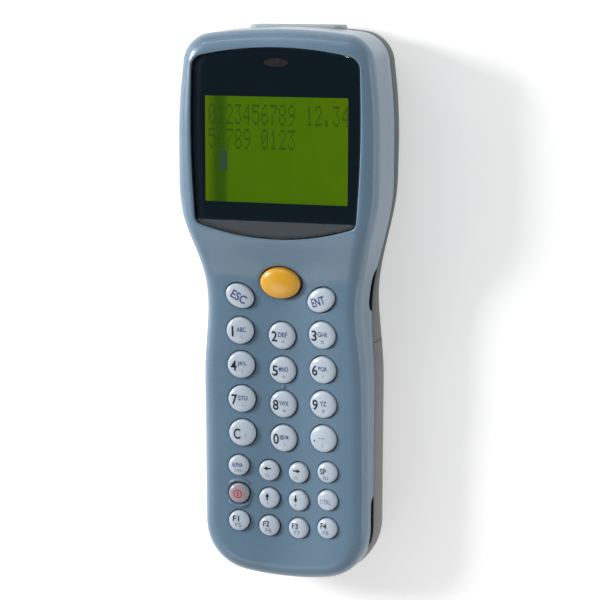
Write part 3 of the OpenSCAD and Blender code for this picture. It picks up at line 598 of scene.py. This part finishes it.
# ---- keys ----
COL, ROW, SMALL_COL, SMALL_ROW = 13.85, 11.5, 10.15, 9.45
DIGIT_Y, DIGIT_D, SMALL_Y, SMALL_D = -8.2, 8.9, -54.1, 6.8
KEY_RISE, ROW_BOW, CAP_EDGE, DOME = 1.7, 0.006, 0.25, 2.5


class Key:
    """Name, middle, width, length, turn in degrees, and how far the key stands out of the face."""

    def __init__(self, name, x, y, w, l, turn, rise):
        self.name, self.x, self.y, self.w, self.l, self.turn, self.rise = name, x, y, w, l, turn, rise


KEYS = [Key("key_scan", 0, SCAN_Y, 13.4, 10.4, 0, 3.0),
        Key("key_esc", -COL + 0.2, 4.45, 9.6, 7.5, -30, KEY_RISE),
        Key("key_enter", COL - 0.2, 4.45, 9.6, 7.5, 30, KEY_RISE)]
for rows, y0, dy, dx, d in ((("1 2 3", "4 5 6", "7 8 9", "c 0 dot"), DIGIT_Y, ROW, COL, DIGIT_D),
                            (("alpha left right space", "power up down ctrl", "f1 f2 f3 f4"),
                             SMALL_Y, SMALL_ROW, SMALL_COL, SMALL_D)):
    for r, row in enumerate(rows):
        names = row.split()
        for i, name in enumerate(names):
            x = (i - (len(names) - 1) / 2) * dx
            KEYS.append(Key("key_" + name, x, y0 - r * dy + ROW_BOW * x * x, d, d, 0, KEY_RISE))
KEY = {k.name: k for k in KEYS}


def key_frame(k):
    """Turns points of the key's own space, which leans with the face, into the body's space."""
    x, y, step = k.x, k.y, 0.1
    slope_x = float(face_z(x + step, y) - face_z(x - step, y)) / (2 * step)
    slope_y = float(face_z(x, y + step) - face_z(x, y - step)) / (2 * step)
    turn = Matrix.Rotation(math.atan(slope_y), 3, "X") @ Matrix.Rotation(-math.atan(slope_x), 3, "Y")
    return lambda p: np.asarray(p, float) @ np.array(turn).T + [x, y, float(face_z(x, y))]


def cap_height(k, p):
    """Height of the key's dome over its own face plane."""
    u, v = rotated(p[:, 0], p[:, 1], -k.turn).T
    r = np.clip(np.hypot(u / (k.w / 2), v / (k.l / 2)), 0, 1)
    return k.rise * CAP_EDGE + k.rise * (1 - CAP_EDGE) * (1 - r ** DOME) ** (1 / DOME)


def build_key(k):
    """The key's oval flank and its dome."""
    b, to, n, low, power = Build(), key_frame(k), 64, k.rise * CAP_EDGE, 2 / DOME
    levels = [(1, -2.1), (1, -1.0), (1, 0.0)]
    for a in np.linspace(0, math.pi / 2, 16)[:-1]:
        levels.append((math.cos(a) ** power, low + (k.rise - low) * math.sin(a) ** power))
    rings = [to(over(ellipse(k.w * s, k.l * s, k.turn, n), h)) for s, h in levels]
    b.rings(rings)
    for i in range(n):
        b.face([rings[-1][i], rings[-1][(i + 1) % n], to([0, 0, k.rise])])
    special = {"key_scan": (M_AMBER, "key_amber"), "key_power": (M_ROSE, "key_rose")}
    mat, slot = special.get(k.name, (M_KEY, "key_grey"))
    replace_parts(make(k.name + "_cap", b.v, b.f, k.name, [mat]), k.name)


# ---- legends on the keys ----


def lettering(text):
    """Flat triangles of some lettering, one unit high and centred."""
    cu = bpy.data.curves.new("lettering", "FONT")
    cu.body, cu.offset = text, 0.02
    o = put("lettering", cu)
    me = bpy.data.meshes.new_from_object(o.evaluated_get(bpy.context.evaluated_depsgraph_get()))
    bpy.data.objects.remove(o)
    bm = bmesh.new()
    bm.from_mesh(me)
    bmesh.ops.triangulate(bm, faces=bm.faces)
    co = np.array([v.co[:2] for v in bm.verts])
    lo, hi = co.min(0), co.max(0)
    for v in bm.verts:
        v.co.xy = Vector((np.array(v.co[:2]) - (lo + hi) / 2) / (hi[1] - lo[1]))
    return bm


def shape(*polygons):
    """Flat triangles of some convex polygons."""
    bm = bmesh.new()
    for poly in polygons:
        bm.faces.new([bm.verts.new((x, y, 0)) for x, y in poly])
    bmesh.ops.triangulate(bm, faces=bm.faces)
    return bm


def arrow(turn):
    shaft = np.array([(-0.55, -0.11), (0.1, -0.11), (0.1, 0.11), (-0.55, 0.11)])
    head = np.array([(0.0, -0.32), (0.55, 0.0), (0.0, 0.32)])
    return shape(*[rotated(p[:, 0], p[:, 1], turn) for p in (shaft, head)])


def power_sign():
    """A ring with an upright bar in it."""
    a = np.linspace(0, 2 * np.pi, 37)
    circle = np.stack([np.cos(a), np.sin(a)], 1)
    o, i = circle * 0.5, circle * 0.37
    return shape(*[[o[j], o[j + 1], i[j + 1], i[j]] for j in range(36)],
                 [(-0.09, -0.26), (0.09, -0.26), (0.09, 0.26), (-0.09, 0.26)])


def legend(k, items):
    """Prints on the key's dome: for each its form, middle, height, width or None, turn and material."""
    b, to = Build(), key_frame(k)
    for form, x, y, high, wide, turn, mat in items:
        bm = lettering(form) if isinstance(form, str) else form
        for v in bm.verts:
            v.co *= high
        if wide:
            span = max(v.co.x for v in bm.verts) - min(v.co.x for v in bm.verts)
            for v in bm.verts:
                v.co.x *= wide / span
        for _ in range(5):
            long = [e for e in bm.edges if e.calc_length() > PRINT_EDGE]
            if not long:
                break
            bmesh.ops.subdivide_edges(bm, edges=long, cuts=1)
            bmesh.ops.triangulate(bm, faces=bm.faces)
        p = np.array([v.co[:2] for v in bm.verts])
        p = rotated(p[:, 0], p[:, 1], turn) + [x, y]
        p = to(np.column_stack([p, cap_height(k, p) + PRINT_GAP]))
        bm.verts.index_update()
        for f in bm.faces:
            ids = [v.index for v in f.verts]
            b.face(p[ids] if f.normal.z >= 0 else p[ids[::-1]], mat)
        bm.free()
    mats = [M_LEGEND, M_NAVY, M_PALE, M_RED]
    make(k.name + "_legend", b.v, b.f, k.name, mats, face_mats=b.m, smooth_shade=False)


BLACK, NAVY, PALE, RED = range(4)
PRINT_GAP, PRINT_EDGE = 0.02, 0.45
LETTERS = {
    "1": ("ABC", "!"), "2": ("DEF", "$"), "3": ("GHI", "%"), "4": ("JKL", "("), "5": ("MNO", "="),
    "6": ("PQR", "/"), "7": ("STU", "-"), "8": ("VWX", "+"), "9": ("YZ", "*"), "0": ("@?&", ","),
}


def legends():
    for digit, (group, sign) in LETTERS.items():
        digit_w, group_w = None if digit == "1" else 2.0, 2.2 if digit == "9" else 3.1
        sign_h = 0.3 if sign == "-" else 0.7 if sign in "=," else 1.3
        legend(KEY["key_" + digit], [(digit, -2.3, -0.05, 3.5, digit_w, 0, BLACK),
                                     (group, 0.55, 0.6, 1.6, group_w, 0, NAVY),
                                     (sign, 0.6, -1.9, sign_h, None, 0, PALE)])
    others = {
        "c": [("C", -1.6, -0.1, 3.6, 2.3, 0, BLACK), ("|", 1.3, -0.6, 1.6, None, 0, PALE)],
        "dot": [(".", -2.7, -0.6, 0.55, 0.6, 0, BLACK), ("...", 0.0, 0.4, 0.3, 2.0, 0, NAVY),
                ("|", 0.2, -2.0, 1.6, None, 0, PALE)],
        "esc": [("ESC", -0.1, -0.1, 2.8, 5.3, -29, NAVY)],
        "enter": [("ENT", -0.5, -0.3, 2.8, 4.7, 19, NAVY)],
        "alpha": [("ALPHA", -0.35, 0.45, 1.45, 3.7, 0, NAVY), ("CAPS", -0.1, -1.5, 1.0, 2.4, 0, PALE)],
        "left": [(arrow(180), -0.4, 0.95, 2.3, None, 0, BLACK), ("O", -0.5, -1.4, 1.2, None, 0, PALE)],
        "right": [(arrow(0), -0.2, 0.85, 2.3, None, 0, BLACK), ("O", -0.5, -1.5, 1.2, None, 0, PALE)],
        "up": [(arrow(90), -0.45, 0.75, 2.3, None, 0, BLACK), ("^", -0.4, -1.6, 0.7, None, 0, PALE)],
        "down": [(arrow(-90), -0.6, 0.75, 2.3, None, 0, BLACK), ("v", -0.7, -1.5, 0.9, None, 0, PALE)],
        "space": [("SP", -1.1, 0.45, 2.0, 2.3, 0, BLACK), ("BS", -0.1, -1.6, 1.2, 1.9, 0, PALE)],
        "ctrl": [("CTRL", -0.2, -0.3, 1.6, 3.9, 0, PALE)],
        "power": [(power_sign(), -0.25, -0.1, 3.0, None, 0, RED)],
    }
    for i in range(1, 5):
        others[f"f{i}"] = [(f"F{i}", -0.85, 0.95, 1.9, 2.2, 0, BLACK),
                           (f"F{i + 4}", -0.1, -1.3, 1.5, 2.1, 0, PALE)]
    for name, items in others.items():
        legend(KEY["key_" + name], items)


for k in KEYS:
    build_key(k)
legends()

# ---- front housing ----
RIM_END = 60  # angle up to which the rim is built of rings; the rest belongs to the sheet of the face


def lens_loop(c):
    """The lens's outline, let out by c."""
    low = end_points(LENS_W0 / 2 + c, LENS_LOW_ARC + c, LENS_LOW_CORNER + c, 0, 16, 8)
    high = end_points(LENS_W1 / 2 + c, LENS_ARC + c, LENS_CORNER + c, 0, 16, 8)
    y0, y1 = LENS_Y0 - c + low[-1][1], LENS_Y1 + c - high[-1][1]
    t = np.arange(1, 24) / 24
    side_x = (LENS_W0 + (LENS_W1 - LENS_W0) * t) / 2 + c + LENS_BOW * np.sin(np.pi * t)
    side = np.column_stack([side_x, y0 + (y1 - y0) * t])
    high = np.column_stack([high[::-1, 0], LENS_Y1 + c - high[::-1, 1]])
    return mirrored(np.concatenate([low + [0, LENS_Y0 - c], side, high]))


def lens_top(y):
    return LENS_Z - CREASE_SLOPE * np.maximum(CREASE_Y - np.asarray(y, float), 0)


def front_case():
    """Outer side, rim and face of the front housing, with the walls of its openings."""
    b = Build()
    y0 = OUTLINE[:, 1]
    crest_z = face_z(CREST[:, 0], CREST[:, 1])
    rise = np.minimum(RIM_H, crest_z - seam_z(y0) - CHAMFER)
    start = side_in(y0, crest_z - rise)

    def lower(d, dz):
        z = seam_z(y0) + notch(y0) + dz
        return np.column_stack([drawn_in(d + side_in(y0, z)), z])

    def rim(a):
        a = math.radians(a)
        loop = drawn_in(start + (RIM_R - start) * (1 - math.cos(a)))
        return np.column_stack([loop, crest_z - rise * (1 - math.sin(a))])

    low, first = lower(0, CHAMFER), rim(0)
    inner = np.column_stack([drawn_in(WALL + start), np.minimum(seam_z(y0) + 6, crest_z - 2.2)])
    mids = [low + (first - low) * t for t in (0.25, 0.5, 0.75)]
    rims = [rim(a) for a in np.linspace(0, RIM_END, 11)]
    b.rings([inner, lower(WALL, 0), lower(CHAMFER, 0), low] + mids + rims)
    outer = rim(RIM_END)
    holes, walls = [], []
    for k in KEYS:
        n, g = (72, 0.35) if k.w > 9 else (48, 0.3)
        to, wall = key_frame(k), []
        for c, z in ((g + 0.42, 0.0), (g + 0.2, -0.06), (g + 0.06, -0.2), (g, -0.45), (g, -2.2)):
            p = to(over(ellipse(k.w + 2 * c, k.l + 2 * c, k.turn, n), 0))
            wall.append(over(p[:, :2], lambda x, y: surface_z(x, y) + z))
        holes.append(wall[0][:, :2])
        walls.append(wall)
    seat = [over(lens_loop(c), lambda x, y: surface_z(x, y) + z)
            for c, z in ((0.75, 0.0), (0.45, -0.06), (0.22, -0.22), (0.12, -0.5), (0.12, -2.4))]
    walls.append(seat)
    holes.append(seat[0][:, :2])
    extra = [outline(d) for d in (3.9, 4.5, 5.2, 6.0, 6.8)] + [lens_loop(1.3)]
    extra += [h.mean(0) + (h - h.mean(0)) * 1.12 for h in holes[:-1]]
    v2, tri = sheet(outer[:, :2], holes, 1.3, np.concatenate(extra))
    v3 = at_edge(v2, surface_z(v2[:, 0], v2[:, 1]), outer)
    for t in tri:
        b.face(v3[t])
    for w in walls:
        b.rings(w)
    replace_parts(make("front_housing", b.v, b.f, mats=[M_BLUE]), "front_case")


def power_guards():
    """Two crescents on the face, above and below the power key."""
    b, to = Build(), key_frame(KEY["key_power"])
    for side in (1, -1):
        rows = []
        for i in range(33):
            a, u = math.radians(38 + 104 * i / 32) * side, abs(i - 16) / 16
            h, w = 0.95 * (1 - u ** 4), 1 - 0.55 * u ** 2
            r = 4.5 + (1 - w) * 0.1
            prof = np.array([(-1, -0.3), (-0.95, h * 0.55), (-0.6, h * 0.92), (-0.1, h), (0.45, h * 0.8),
                             (0.85, h * 0.35), (1.05, -0.3)])
            rad = r + prof[:, 0] * 0.65 * w
            rows.append(to(np.column_stack([rad * math.cos(a), rad * math.sin(a), prof[:, 1]])))
        b.rings(rows, closed=False, flip=side > 0)
        b.face(rows[0] if side > 0 else rows[0][::-1])
        b.face(rows[-1][::-1] if side > 0 else rows[-1])
    make("power_key_guards", b.v, b.f, mats=[M_BLUE])


def nib():
    """Small bump under the middle key, for the fingertip."""
    b, x, y = Build(), 0.0, KEY["key_5"].y - 5.75
    wide, high, foot = 1.5, 0.55, float(face_z(x, y)) - 0.05
    rings = [over(ellipse(wide * math.cos(a), wide * math.cos(a), 0, 24) + [x, y], foot + high * math.sin(a))
             for a in np.linspace(0, math.pi / 2, 9)[:-1]]
    b.rings(rings)
    b.face(rings[-1])
    make("locating_nib", b.v, b.f, mats=[M_BLUE])


front_case()
power_guards()
nib()

# ---- lens, its print, and the screen ----


def crease(n):
    """Points of the line in which the lens is bent."""
    return np.column_stack([np.linspace(-26, 26, n), np.full(n, CREASE_Y)])


def lens():
    b = Build()
    rings = [over(lens_loop(c), lambda x, y: lens_top(y) + z)
             for c, z in ((0, -LENS_T), (0, -0.35), (-0.08, -0.12), (-0.3, 0))]
    b.rings(rings)
    v2, tri = sheet(lens_loop(-0.3), [], 2.4, crease(50))
    v3 = over(v2, lambda x, y: lens_top(y))
    for t in tri:
        b.face(v3[t])
    clear = make("display_lens_clear", b.v, b.f, mats=[M_LENS], sharp=8)
    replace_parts(clear, "display_lens")


def lens_print():
    """The black border behind the lens, with openings for the screen and the indicator light."""
    b = Build()
    rect = rounded_box(SCREEN_W, SCREEN_H, 0.4) + [0, SCREEN_Y]
    led = ellipse(8.2, 2.9, 0, 40) + [0, LED_Y]
    v2, tri = sheet(lens_loop(-0.3), [rect, led], 3.0, crease(40))
    v3 = over(v2, lambda x, y: lens_top(y) - LENS_T - 0.02)
    for t in tri:
        b.face(v3[t])
    for loop in (rect, led):
        top = over(loop, lambda x, y: lens_top(y) - LENS_T - 0.02)
        b.rings([top, top - [0, 0, 0.35]])
    border = make("lens_border_print", b.v, b.f, mats=[M_MASK], smooth_shade=False)
    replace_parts(border, "lens_mask")


# characters of the screen: a number for each of their seven rows, whose bits are the dots
GLYPHS = {
    "0": (14, 17, 19, 21, 25, 17, 14), "1": (4, 12, 4, 4, 4, 4, 14), "2": (14, 17, 1, 2, 4, 8, 31),
    "3": (31, 2, 4, 2, 1, 17, 14), "4": (2, 6, 10, 18, 31, 2, 2), "5": (31, 16, 30, 1, 1, 17, 14),
    "6": (6, 8, 16, 30, 17, 17, 14), "7": (31, 1, 2, 4, 8, 8, 8), "8": (14, 17, 17, 14, 17, 17, 14),
    "9": (14, 17, 17, 15, 1, 2, 12), ".": (0, 0, 0, 0, 0, 12, 12), ">": (8, 4, 2, 1, 2, 4, 8), " ": (0,) * 7,
}


def screen_text():
    """Plain digits, a prompt sign and a cursor block on the screen."""
    b, c = Build(), Build()
    top, pitch, gap_x, gap_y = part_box("lcd_panel")[1].z * 1000 + 0.03, 2.92, 0.14, 0.1
    for text, x0, y0, dx, dy in (("0123456789 12.34", -22.3, 66.3, 0.46, 0.93),
                                 ("56789 0123", -22.3, 58.6, 0.46, 0.93), (">", -21.4, 51.2, 0.42, 0.8)):
        for i, ch in enumerate(text):
            for r, row in enumerate(GLYPHS[ch]):
                for col in range(5):
                    if row >> (4 - col) & 1:
                        x, y = x0 + i * pitch + col * dx, y0 - r * dy
                        x1, y1 = x + dx - gap_x, y - dy + gap_y
                        b.face([(x, y1, top), (x1, y1, top), (x1, y, top), (x, y, top)])
    c.face([(-18.6, 45.1, top), (-16.2, 45.1, top), (-16.2, 51.7, top), (-18.6, 51.7, top)])
    make("screen_digits", b.v, b.f, mats=[M_DOTS], smooth_shade=False)
    make("screen_cursor_block", c.v, c.f, mats=[M_CURSOR], smooth_shade=False)


lens()
lens_print()
screen_text()

# ---- rear housing and battery cover: the points of the outline that belong to each ----
CUT_Y = COVER_Y + SPLIT
CASE_RUN = np.nonzero(OUTLINE[:, 1] > CUT_Y - 0.01)[0]
COVER_RUN = np.roll(np.arange(len(OUTLINE)), -int(CASE_RUN[-1]) - 1)
COVER_RUN = COVER_RUN[OUTLINE[COVER_RUN, 1] < COVER_Y + 0.01]


def rear_skin(b, run):
    """Side and rounded back edge over a run of the outline; gives the last line, where the back begins."""

    def line(d, z):
        o = outline(d)[run] if np.isscalar(d) else drawn_in(d)[run]
        return np.column_stack([o, z(o) if callable(z) else np.broadcast_to(z, len(o))])

    y = OUTLINE[:, 1]
    top = seam_z(y) - SEAM_GAP
    lean = side_in(y, top)
    lines = [line(WALL + lean, (top - 4)[run]), line(WALL + lean, top[run]), line(0.25 + lean, top[run]),
             line(lean * 0.9, (top - 0.25)[run]), line(0.0, LEAN_Z),
             line(0.0, lambda o: (back_z(o[:, 1]) + BACK_H + LEAN_Z) / 2)]
    for d in BACK_R * (1 - np.cos(np.radians(np.linspace(0, 54, 15)))):
        rise = BACK_H * (1 - math.sqrt(1 - (1 - d / BACK_R) ** 2))
        lines.append(line(float(d), lambda o: back_z(o[:, 1]) + rise))
    # Where the strap openings cut the front housing's edge, the inner wall and ledge take the second
    # material: painted shade for the hollow inside.
    b.rings(lines[:3], closed=False, flip=True, mat=notch(y[run]) > 0.25)
    b.rings(lines[2:], closed=False, flip=True)
    return lines[-1]


def stadium(x, y, half, r, n=10):
    """A slot along X with round ends; half is the distance from its middle to an end's middle."""
    a = np.linspace(-math.pi / 2, math.pi / 2, n)
    right = np.stack([half + r * np.cos(a), r * np.sin(a)], 1)
    return np.concatenate([right, -right]) + [x, y]


def back_sheet(b, edge, holes, keep):
    """The back inside the rounded edge, closed by the straight cut."""
    cut = np.linspace(edge[-1, :2], edge[0, :2], 40)[1:-1]
    outer = np.concatenate([edge[:, :2], cut])
    lines = [outline(d) for d in (5.0, 6.0, 7.2, 8.6, 10.0)] + [let_out(h, 0.5) for h in holes]
    extra = np.concatenate(lines)
    v2, tri = sheet(outer, holes, 1.9, extra[keep(extra[:, 1])])
    v3 = at_edge(v2, back_surface(v2[:, 0], v2[:, 1]), edge)
    for t in tri:
        b.face(v3[t][::-1])


def rear_case():
    """The rear housing with its sound slots and screw wells."""
    b = Build()
    edge = rear_skin(b, CASE_RUN)
    holes = [(ellipse(2.5, 2.5, 0, 32) + [4 * i, 66], 0.5) for i in range(-2, 3)]
    holes += [(stadium(16, 38 + 2.4 * i, 4, 0.6), 2.0) for i in range(-2, 3)]
    screws = ((28.4, 72), (float(half_w(20.0)) - 7, 20))
    holes += [(ellipse(4.4, 4.4, 0, 32) + [sx * x, y], 2.4) for sx in (-1, 1) for x, y in screws]
    back_sheet(b, edge, [h[0] for h in holes], lambda y: y > CUT_Y + 0.6)
    for h, depth in holes:
        l0 = over(h, back_surface)
        l1 = over(let_out(h, -0.08), back_surface) + [0, 0, 0.12]
        b.rings([l0, l1, l1 + [0, 0, depth]], flip=True)
    shell = make("rear_housing", b.v, b.f, mats=[M_GREY, M_SHADOW], face_mats=b.m)
    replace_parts(shell, "rear_case")


def battery_cover():
    """The outside of the battery cover, with its thumb grips."""
    b = Build()
    edge = rear_skin(b, COVER_RUN)
    grips = [stadium(0, -24 - 2.2 * i, 9 - 0.8 * i, 0.8) for i in range(6)]
    back_sheet(b, edge, grips, lambda y: y < COVER_Y - 0.6)
    for g in grips:
        rings = [over(let_out(g, c), z) for c, z in ((0, 0), (-0.15, 0.28), (-0.4, 0.48), (-0.7, 0.55))]
        b.rings(rings, flip=True)
        b.face(rings[-1][::-1])
    shell = make("battery_cover_shell", b.v, b.f, "battery_cover", [M_GREY, M_SHADOW], face_mats=b.m)
    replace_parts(shell, "battery_cover")


rear_case()
battery_cover()

# ---- what the battery cover hides, and the top end ----


def box_loop(x0, y0, x1, y1):
    return np.array([(x0, y0), (x1, y0), (x1, y1), (x0, y1)])


def battery_room():
    """Deck, tray walls, rails and bulkhead of the rear housing, under the cover."""
    b = Build()
    deck = outline(3.4)
    deck = deck[deck[:, 1] < COVER_Y + 3]
    longest = int(np.argmax(np.linalg.norm(np.roll(deck, -1, 0) - deck, axis=1)))
    deck = np.roll(deck, -longest - 1, axis=0)
    deck[:, 0] = np.clip(deck[:, 0], -CHANNEL_X + 0.3, CHANNEL_X - 0.3)
    b.prism(deck, DECK_Z, DECK_Z + 1.0)
    w = 1.2
    for x0, y0, x1, y1 in ((-TRAY_X - w, TRAY_Y0 - w, TRAY_X + w, TRAY_Y0),
                           (-TRAY_X - w, TRAY_Y1, TRAY_X + w, TRAY_Y1 + w),
                           (-TRAY_X - w, TRAY_Y0, -TRAY_X, TRAY_Y1), (TRAY_X, TRAY_Y0, TRAY_X + w, TRAY_Y1)):
        loop = box_loop(x0, y0, x1, y1)
        b.prism(loop, back_surface(loop[:, 0], loop[:, 1]) + COVER_WALL + 1.0, DECK_Z)
    y0, y1 = TRAY_Y0 + 14.5, COVER_Y + 0.4
    for s in (-1, 1):
        for x0, x1, z0, z1 in ((22.9, 24.1, 12.0, DECK_Z), (24.1, 25.4, 12.0, 13.0)):  # the rails
            loop = box_loop(x0, y0, x1, y1)
            b.prism(loop if s > 0 else (loop * [-1, 1])[::-1], z0, z1)
    wall = np.column_stack([np.linspace(-25.6, 25.6, 41), np.full(41, CUT_Y)])
    face = [over(wall, back_surface) + [0, 0, 0.3], over(wall, DECK_Z + 1.0)]
    b.rings(face, closed=False)
    back = [f + [0, 1.5, 0] for f in face]
    b.rings(back, closed=False, flip=True)
    make("battery_room", b.v, b.f, mats=[M_GREY], smooth_shade=False)


def cover_inside():
    """Inner skin, upper edge and sliding ribs of the battery cover."""
    b, rows, side = Build(), [], half_outline(COVER_WALL + 1.0)
    for y in np.linspace(TRAY_Y0 - 1.0, COVER_Y, 60):
        x = np.linspace(-1, 1, 41) * min(CHANNEL_X, np.interp(y, side[:, 1], side[:, 0]))
        rows.append(over(np.column_stack([x, np.full(41, y)]), lambda a, c: back_surface(a, c) + COVER_WALL))
    b.rings(rows, closed=False)
    last = rows[-1]
    b.rings([over(last[:, :2], back_surface), last], closed=False, flip=True)
    for s in (-1, 1):
        loop = box_loop(CHANNEL_X - 1.0, -69.6, CHANNEL_X - 0.1, -11.8)
        b.prism(loop if s > 0 else (loop * [-1, 1])[::-1], 13.3, 14.2)
    make("battery_cover_inside", b.v, b.f, "battery_cover", [M_INNER], smooth_shade=False)


def slot_shade_sheets():
    """Dark sheets behind the strap openings: painted shade, where only the hollow inside would show."""
    b = Build()
    for y0, y1, d, z0 in ((-4.0, 18.0, 6.5, 9.0), (-84.0, -58.0, 4.4, 15.2)):
        side = half_outline(d)
        side = side[(side[:, 1] > y0) & (side[:, 1] < y1) & (side[:, 0] > 10)]
        for s in (-1, 1):
            b.rings([over(side * [s, 1], z) for z in (z0, 20.5)], closed=False, flip=s < 0)
    make("strap_opening_shade_sheets", b.v, b.f, mats=[M_SHADOW], smooth_shade=False)


def nose():
    """Surround of the scan window, and its plate: 0.9 mm lower than in the solid, as in the photo."""
    b = Build()

    def ring(w, h, r, y):
        p = rounded_box(w, h, r, 10)
        return np.column_stack([p[:, 0], np.full(len(p), y), WINDOW_Z + p[:, 1]])

    wide, high, y = WINDOW_W + 5, WINDOW_H + 2.8, END_Y - 0.9
    rings = [ring(wide, high, 3, TOP_Y - 5)]
    rings += [ring(wide - 2 * c, high - 2 * c, 3 - c, y - e)
              for c, e in ((0, 0.6), (0.06, 0.3), (0.25, 0.08), (0.55, 0.0))]
    rings += [ring(WINDOW_W, WINDOW_H, 1.5, y), ring(WINDOW_W, WINDOW_H, 1.5, y - 2.0)]
    b.rings(rings, flip=True)
    make("scan_window_surround", b.v, b.f, mats=[M_NOSE], sharp=50)
    b = Build()
    rings = [ring(WINDOW_W - 0.1, WINDOW_H - 0.1, 1.45, y - e) for e in (1.9, 0.5)]
    b.rings(rings, flip=True)
    b.face(rings[-1][::-1])
    b.face(rings[0])
    plate = make("scan_window_plate", b.v, b.f, mats=[M_WINDOW], sharp=50)
    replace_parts(plate, "scan_window")


battery_room()
cover_inside()
slot_shade_sheets()
nose()

# ---- materials of the solids, also of those that a finer form stands for ----
for mat, names in (
        (M_STEEL, "lcd_frame backup_cell battery_springs battery_plates engine_bracket board_screws"),
        (M_BLACK, "board_chips buzzer scan_engine"), (M_GREY, "front_case rear_case battery_cover"),
        (M_BOARD, "lcd_board main_board"), (M_FLEX, "lcd_flex engine_flex"), (M_SCREEN, "lcd_panel"),
        (M_GUIDE, "backlight"), (M_LED, "indicator_light"), (M_RUBBER, "key_mat"), (M_CELL, "battery_cells"),
        (M_WINDOW, "scan_window"), (M_SCREW, "case_screws"), (M_SHADOW, "strap_anchors"),
        (M_GOLD, "cradle_contacts")):
    for name in names.split():
        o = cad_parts[name]
        o.data.materials.clear()
        o.data.materials.append(mat)

# ---- camera, fitted to the photograph: a point of the body, in millimetres, and where the camera has it ----
AIM, AIM_SEEN = Vector((0, -27.0, 20.5)), Vector((-4.29, -29.15, -593.65))
FOCAL_PX, PHOTO_PX, SENSOR = 1816.6, 600, 36
tilt, pan, roll = (math.radians(a) for a in (9.84, -17.1, -0.14))
R = Matrix.Rotation(roll, 3, "Z") @ Matrix.Rotation(tilt, 3, "X") @ Matrix.Rotation(pan, 3, "Y")
place = -(R.transposed() @ AIM_SEEN) + AIM
lens_data = bpy.data.cameras.new("camera")
lens_data.sensor_fit, lens_data.sensor_width = "HORIZONTAL", SENSOR
lens_data.lens = FOCAL_PX / PHOTO_PX * SENSOR
lens_data.clip_start, lens_data.clip_end = 0.01, 20
cam = put("camera", lens_data)
cam.matrix_world = Matrix.Translation(place / 1000) @ R.transposed().to_4x4()
bpy.context.scene.camera = cam

# ---- floor and light ----


def floor():
    """White paper: it takes a soft shadow, and is brighter where the camera or a mirror looks at it."""
    me = bpy.data.meshes.new("floor")
    me.from_pydata([(-4, -4, 0), (4, -4, 0), (4, 4, 0), (-4, 4, 0)], [], [(0, 1, 2, 3)])
    p = Mat("pale_floor", (0.9, 0.9, 0.9), 0.9)
    p.colour(p.ramp(p.noise(6, 2), [(0.3, (0.88, 0.88, 0.88)), (0.7, (0.92, 0.92, 0.92))]))
    rays = p.nt.nodes.new("ShaderNodeLightPath").outputs
    steps = [p.nt.nodes.new("ShaderNodeMath") for _ in range(3)]
    glow = rays["Is Camera Ray"]
    for node, name in zip(steps, ("Is Glossy Ray", "Is Transmission Ray", None)):
        node.operation = "ADD" if name else "MULTIPLY"
        p.link(glow, node.inputs[0])
        if name:
            p.link(rays[name], node.inputs[1])
        glow = node.outputs[0]
    steps[-1].inputs[1].default_value = 0.4
    p.link(glow, p.b.inputs["Emission Strength"])
    p.b.inputs["Emission Color"].default_value = (1, 1, 1, 1)
    me.materials.append(p.m)
    o = put("floor", me)
    o.location.z = -0.0005


def area(name, pos, size, power, size_y=None):
    """A square or oblong light that faces the object."""
    d = bpy.data.lights.new(name, "AREA")
    d.energy, d.size = power, size
    if size_y:
        d.shape, d.size_y = "RECTANGLE", size_y
    o = put(name, d)
    o.location = pos
    o.rotation_euler = (Vector((0, 0, 0.02)) - Vector(pos)).to_track_quat("-Z", "Y").to_euler()


def sky():
    """Studio walls: bright round the sides, darker straight above, so that the flat lens stays dark."""
    world = bpy.data.worlds.new("world")
    bpy.context.scene.world = world
    world.use_nodes = True
    nt = world.node_tree
    co, sep, r = (nt.nodes.new("ShaderNode" + t) for t in ("TexCoord", "SeparateXYZ", "ValToRGB"))
    nt.links.new(co.outputs["Generated"], sep.inputs["Vector"])
    nt.links.new(sep.outputs["Z"], r.inputs["Fac"])
    r.color_ramp.elements[0].position, r.color_ramp.elements[0].color = 0.78, (0.54, 0.54, 0.54, 1)
    r.color_ramp.elements[1].position, r.color_ramp.elements[1].color = 0.88, (0.06, 0.06, 0.06, 1)
    nt.links.new(r.outputs["Color"], nt.nodes["Background"].inputs["Color"])


floor()
area("key", (-0.75, 0.25, 0.55), 0.24, 7.0)
area("right", (0.8, 0.0, 0.12), 0.9, 0.9, 0.05)
area("left", (-0.8, 0.1, 0.1), 0.8, 0.6, 0.04)
area("top", (-0.25, 0.75, 0.6), 0.7, 0.8, 0.025)
area("front", (-0.35, -0.75, 0.85), 0.4, 0.5)
sky()
bpy.context.scene.view_settings.view_transform = "Standard"
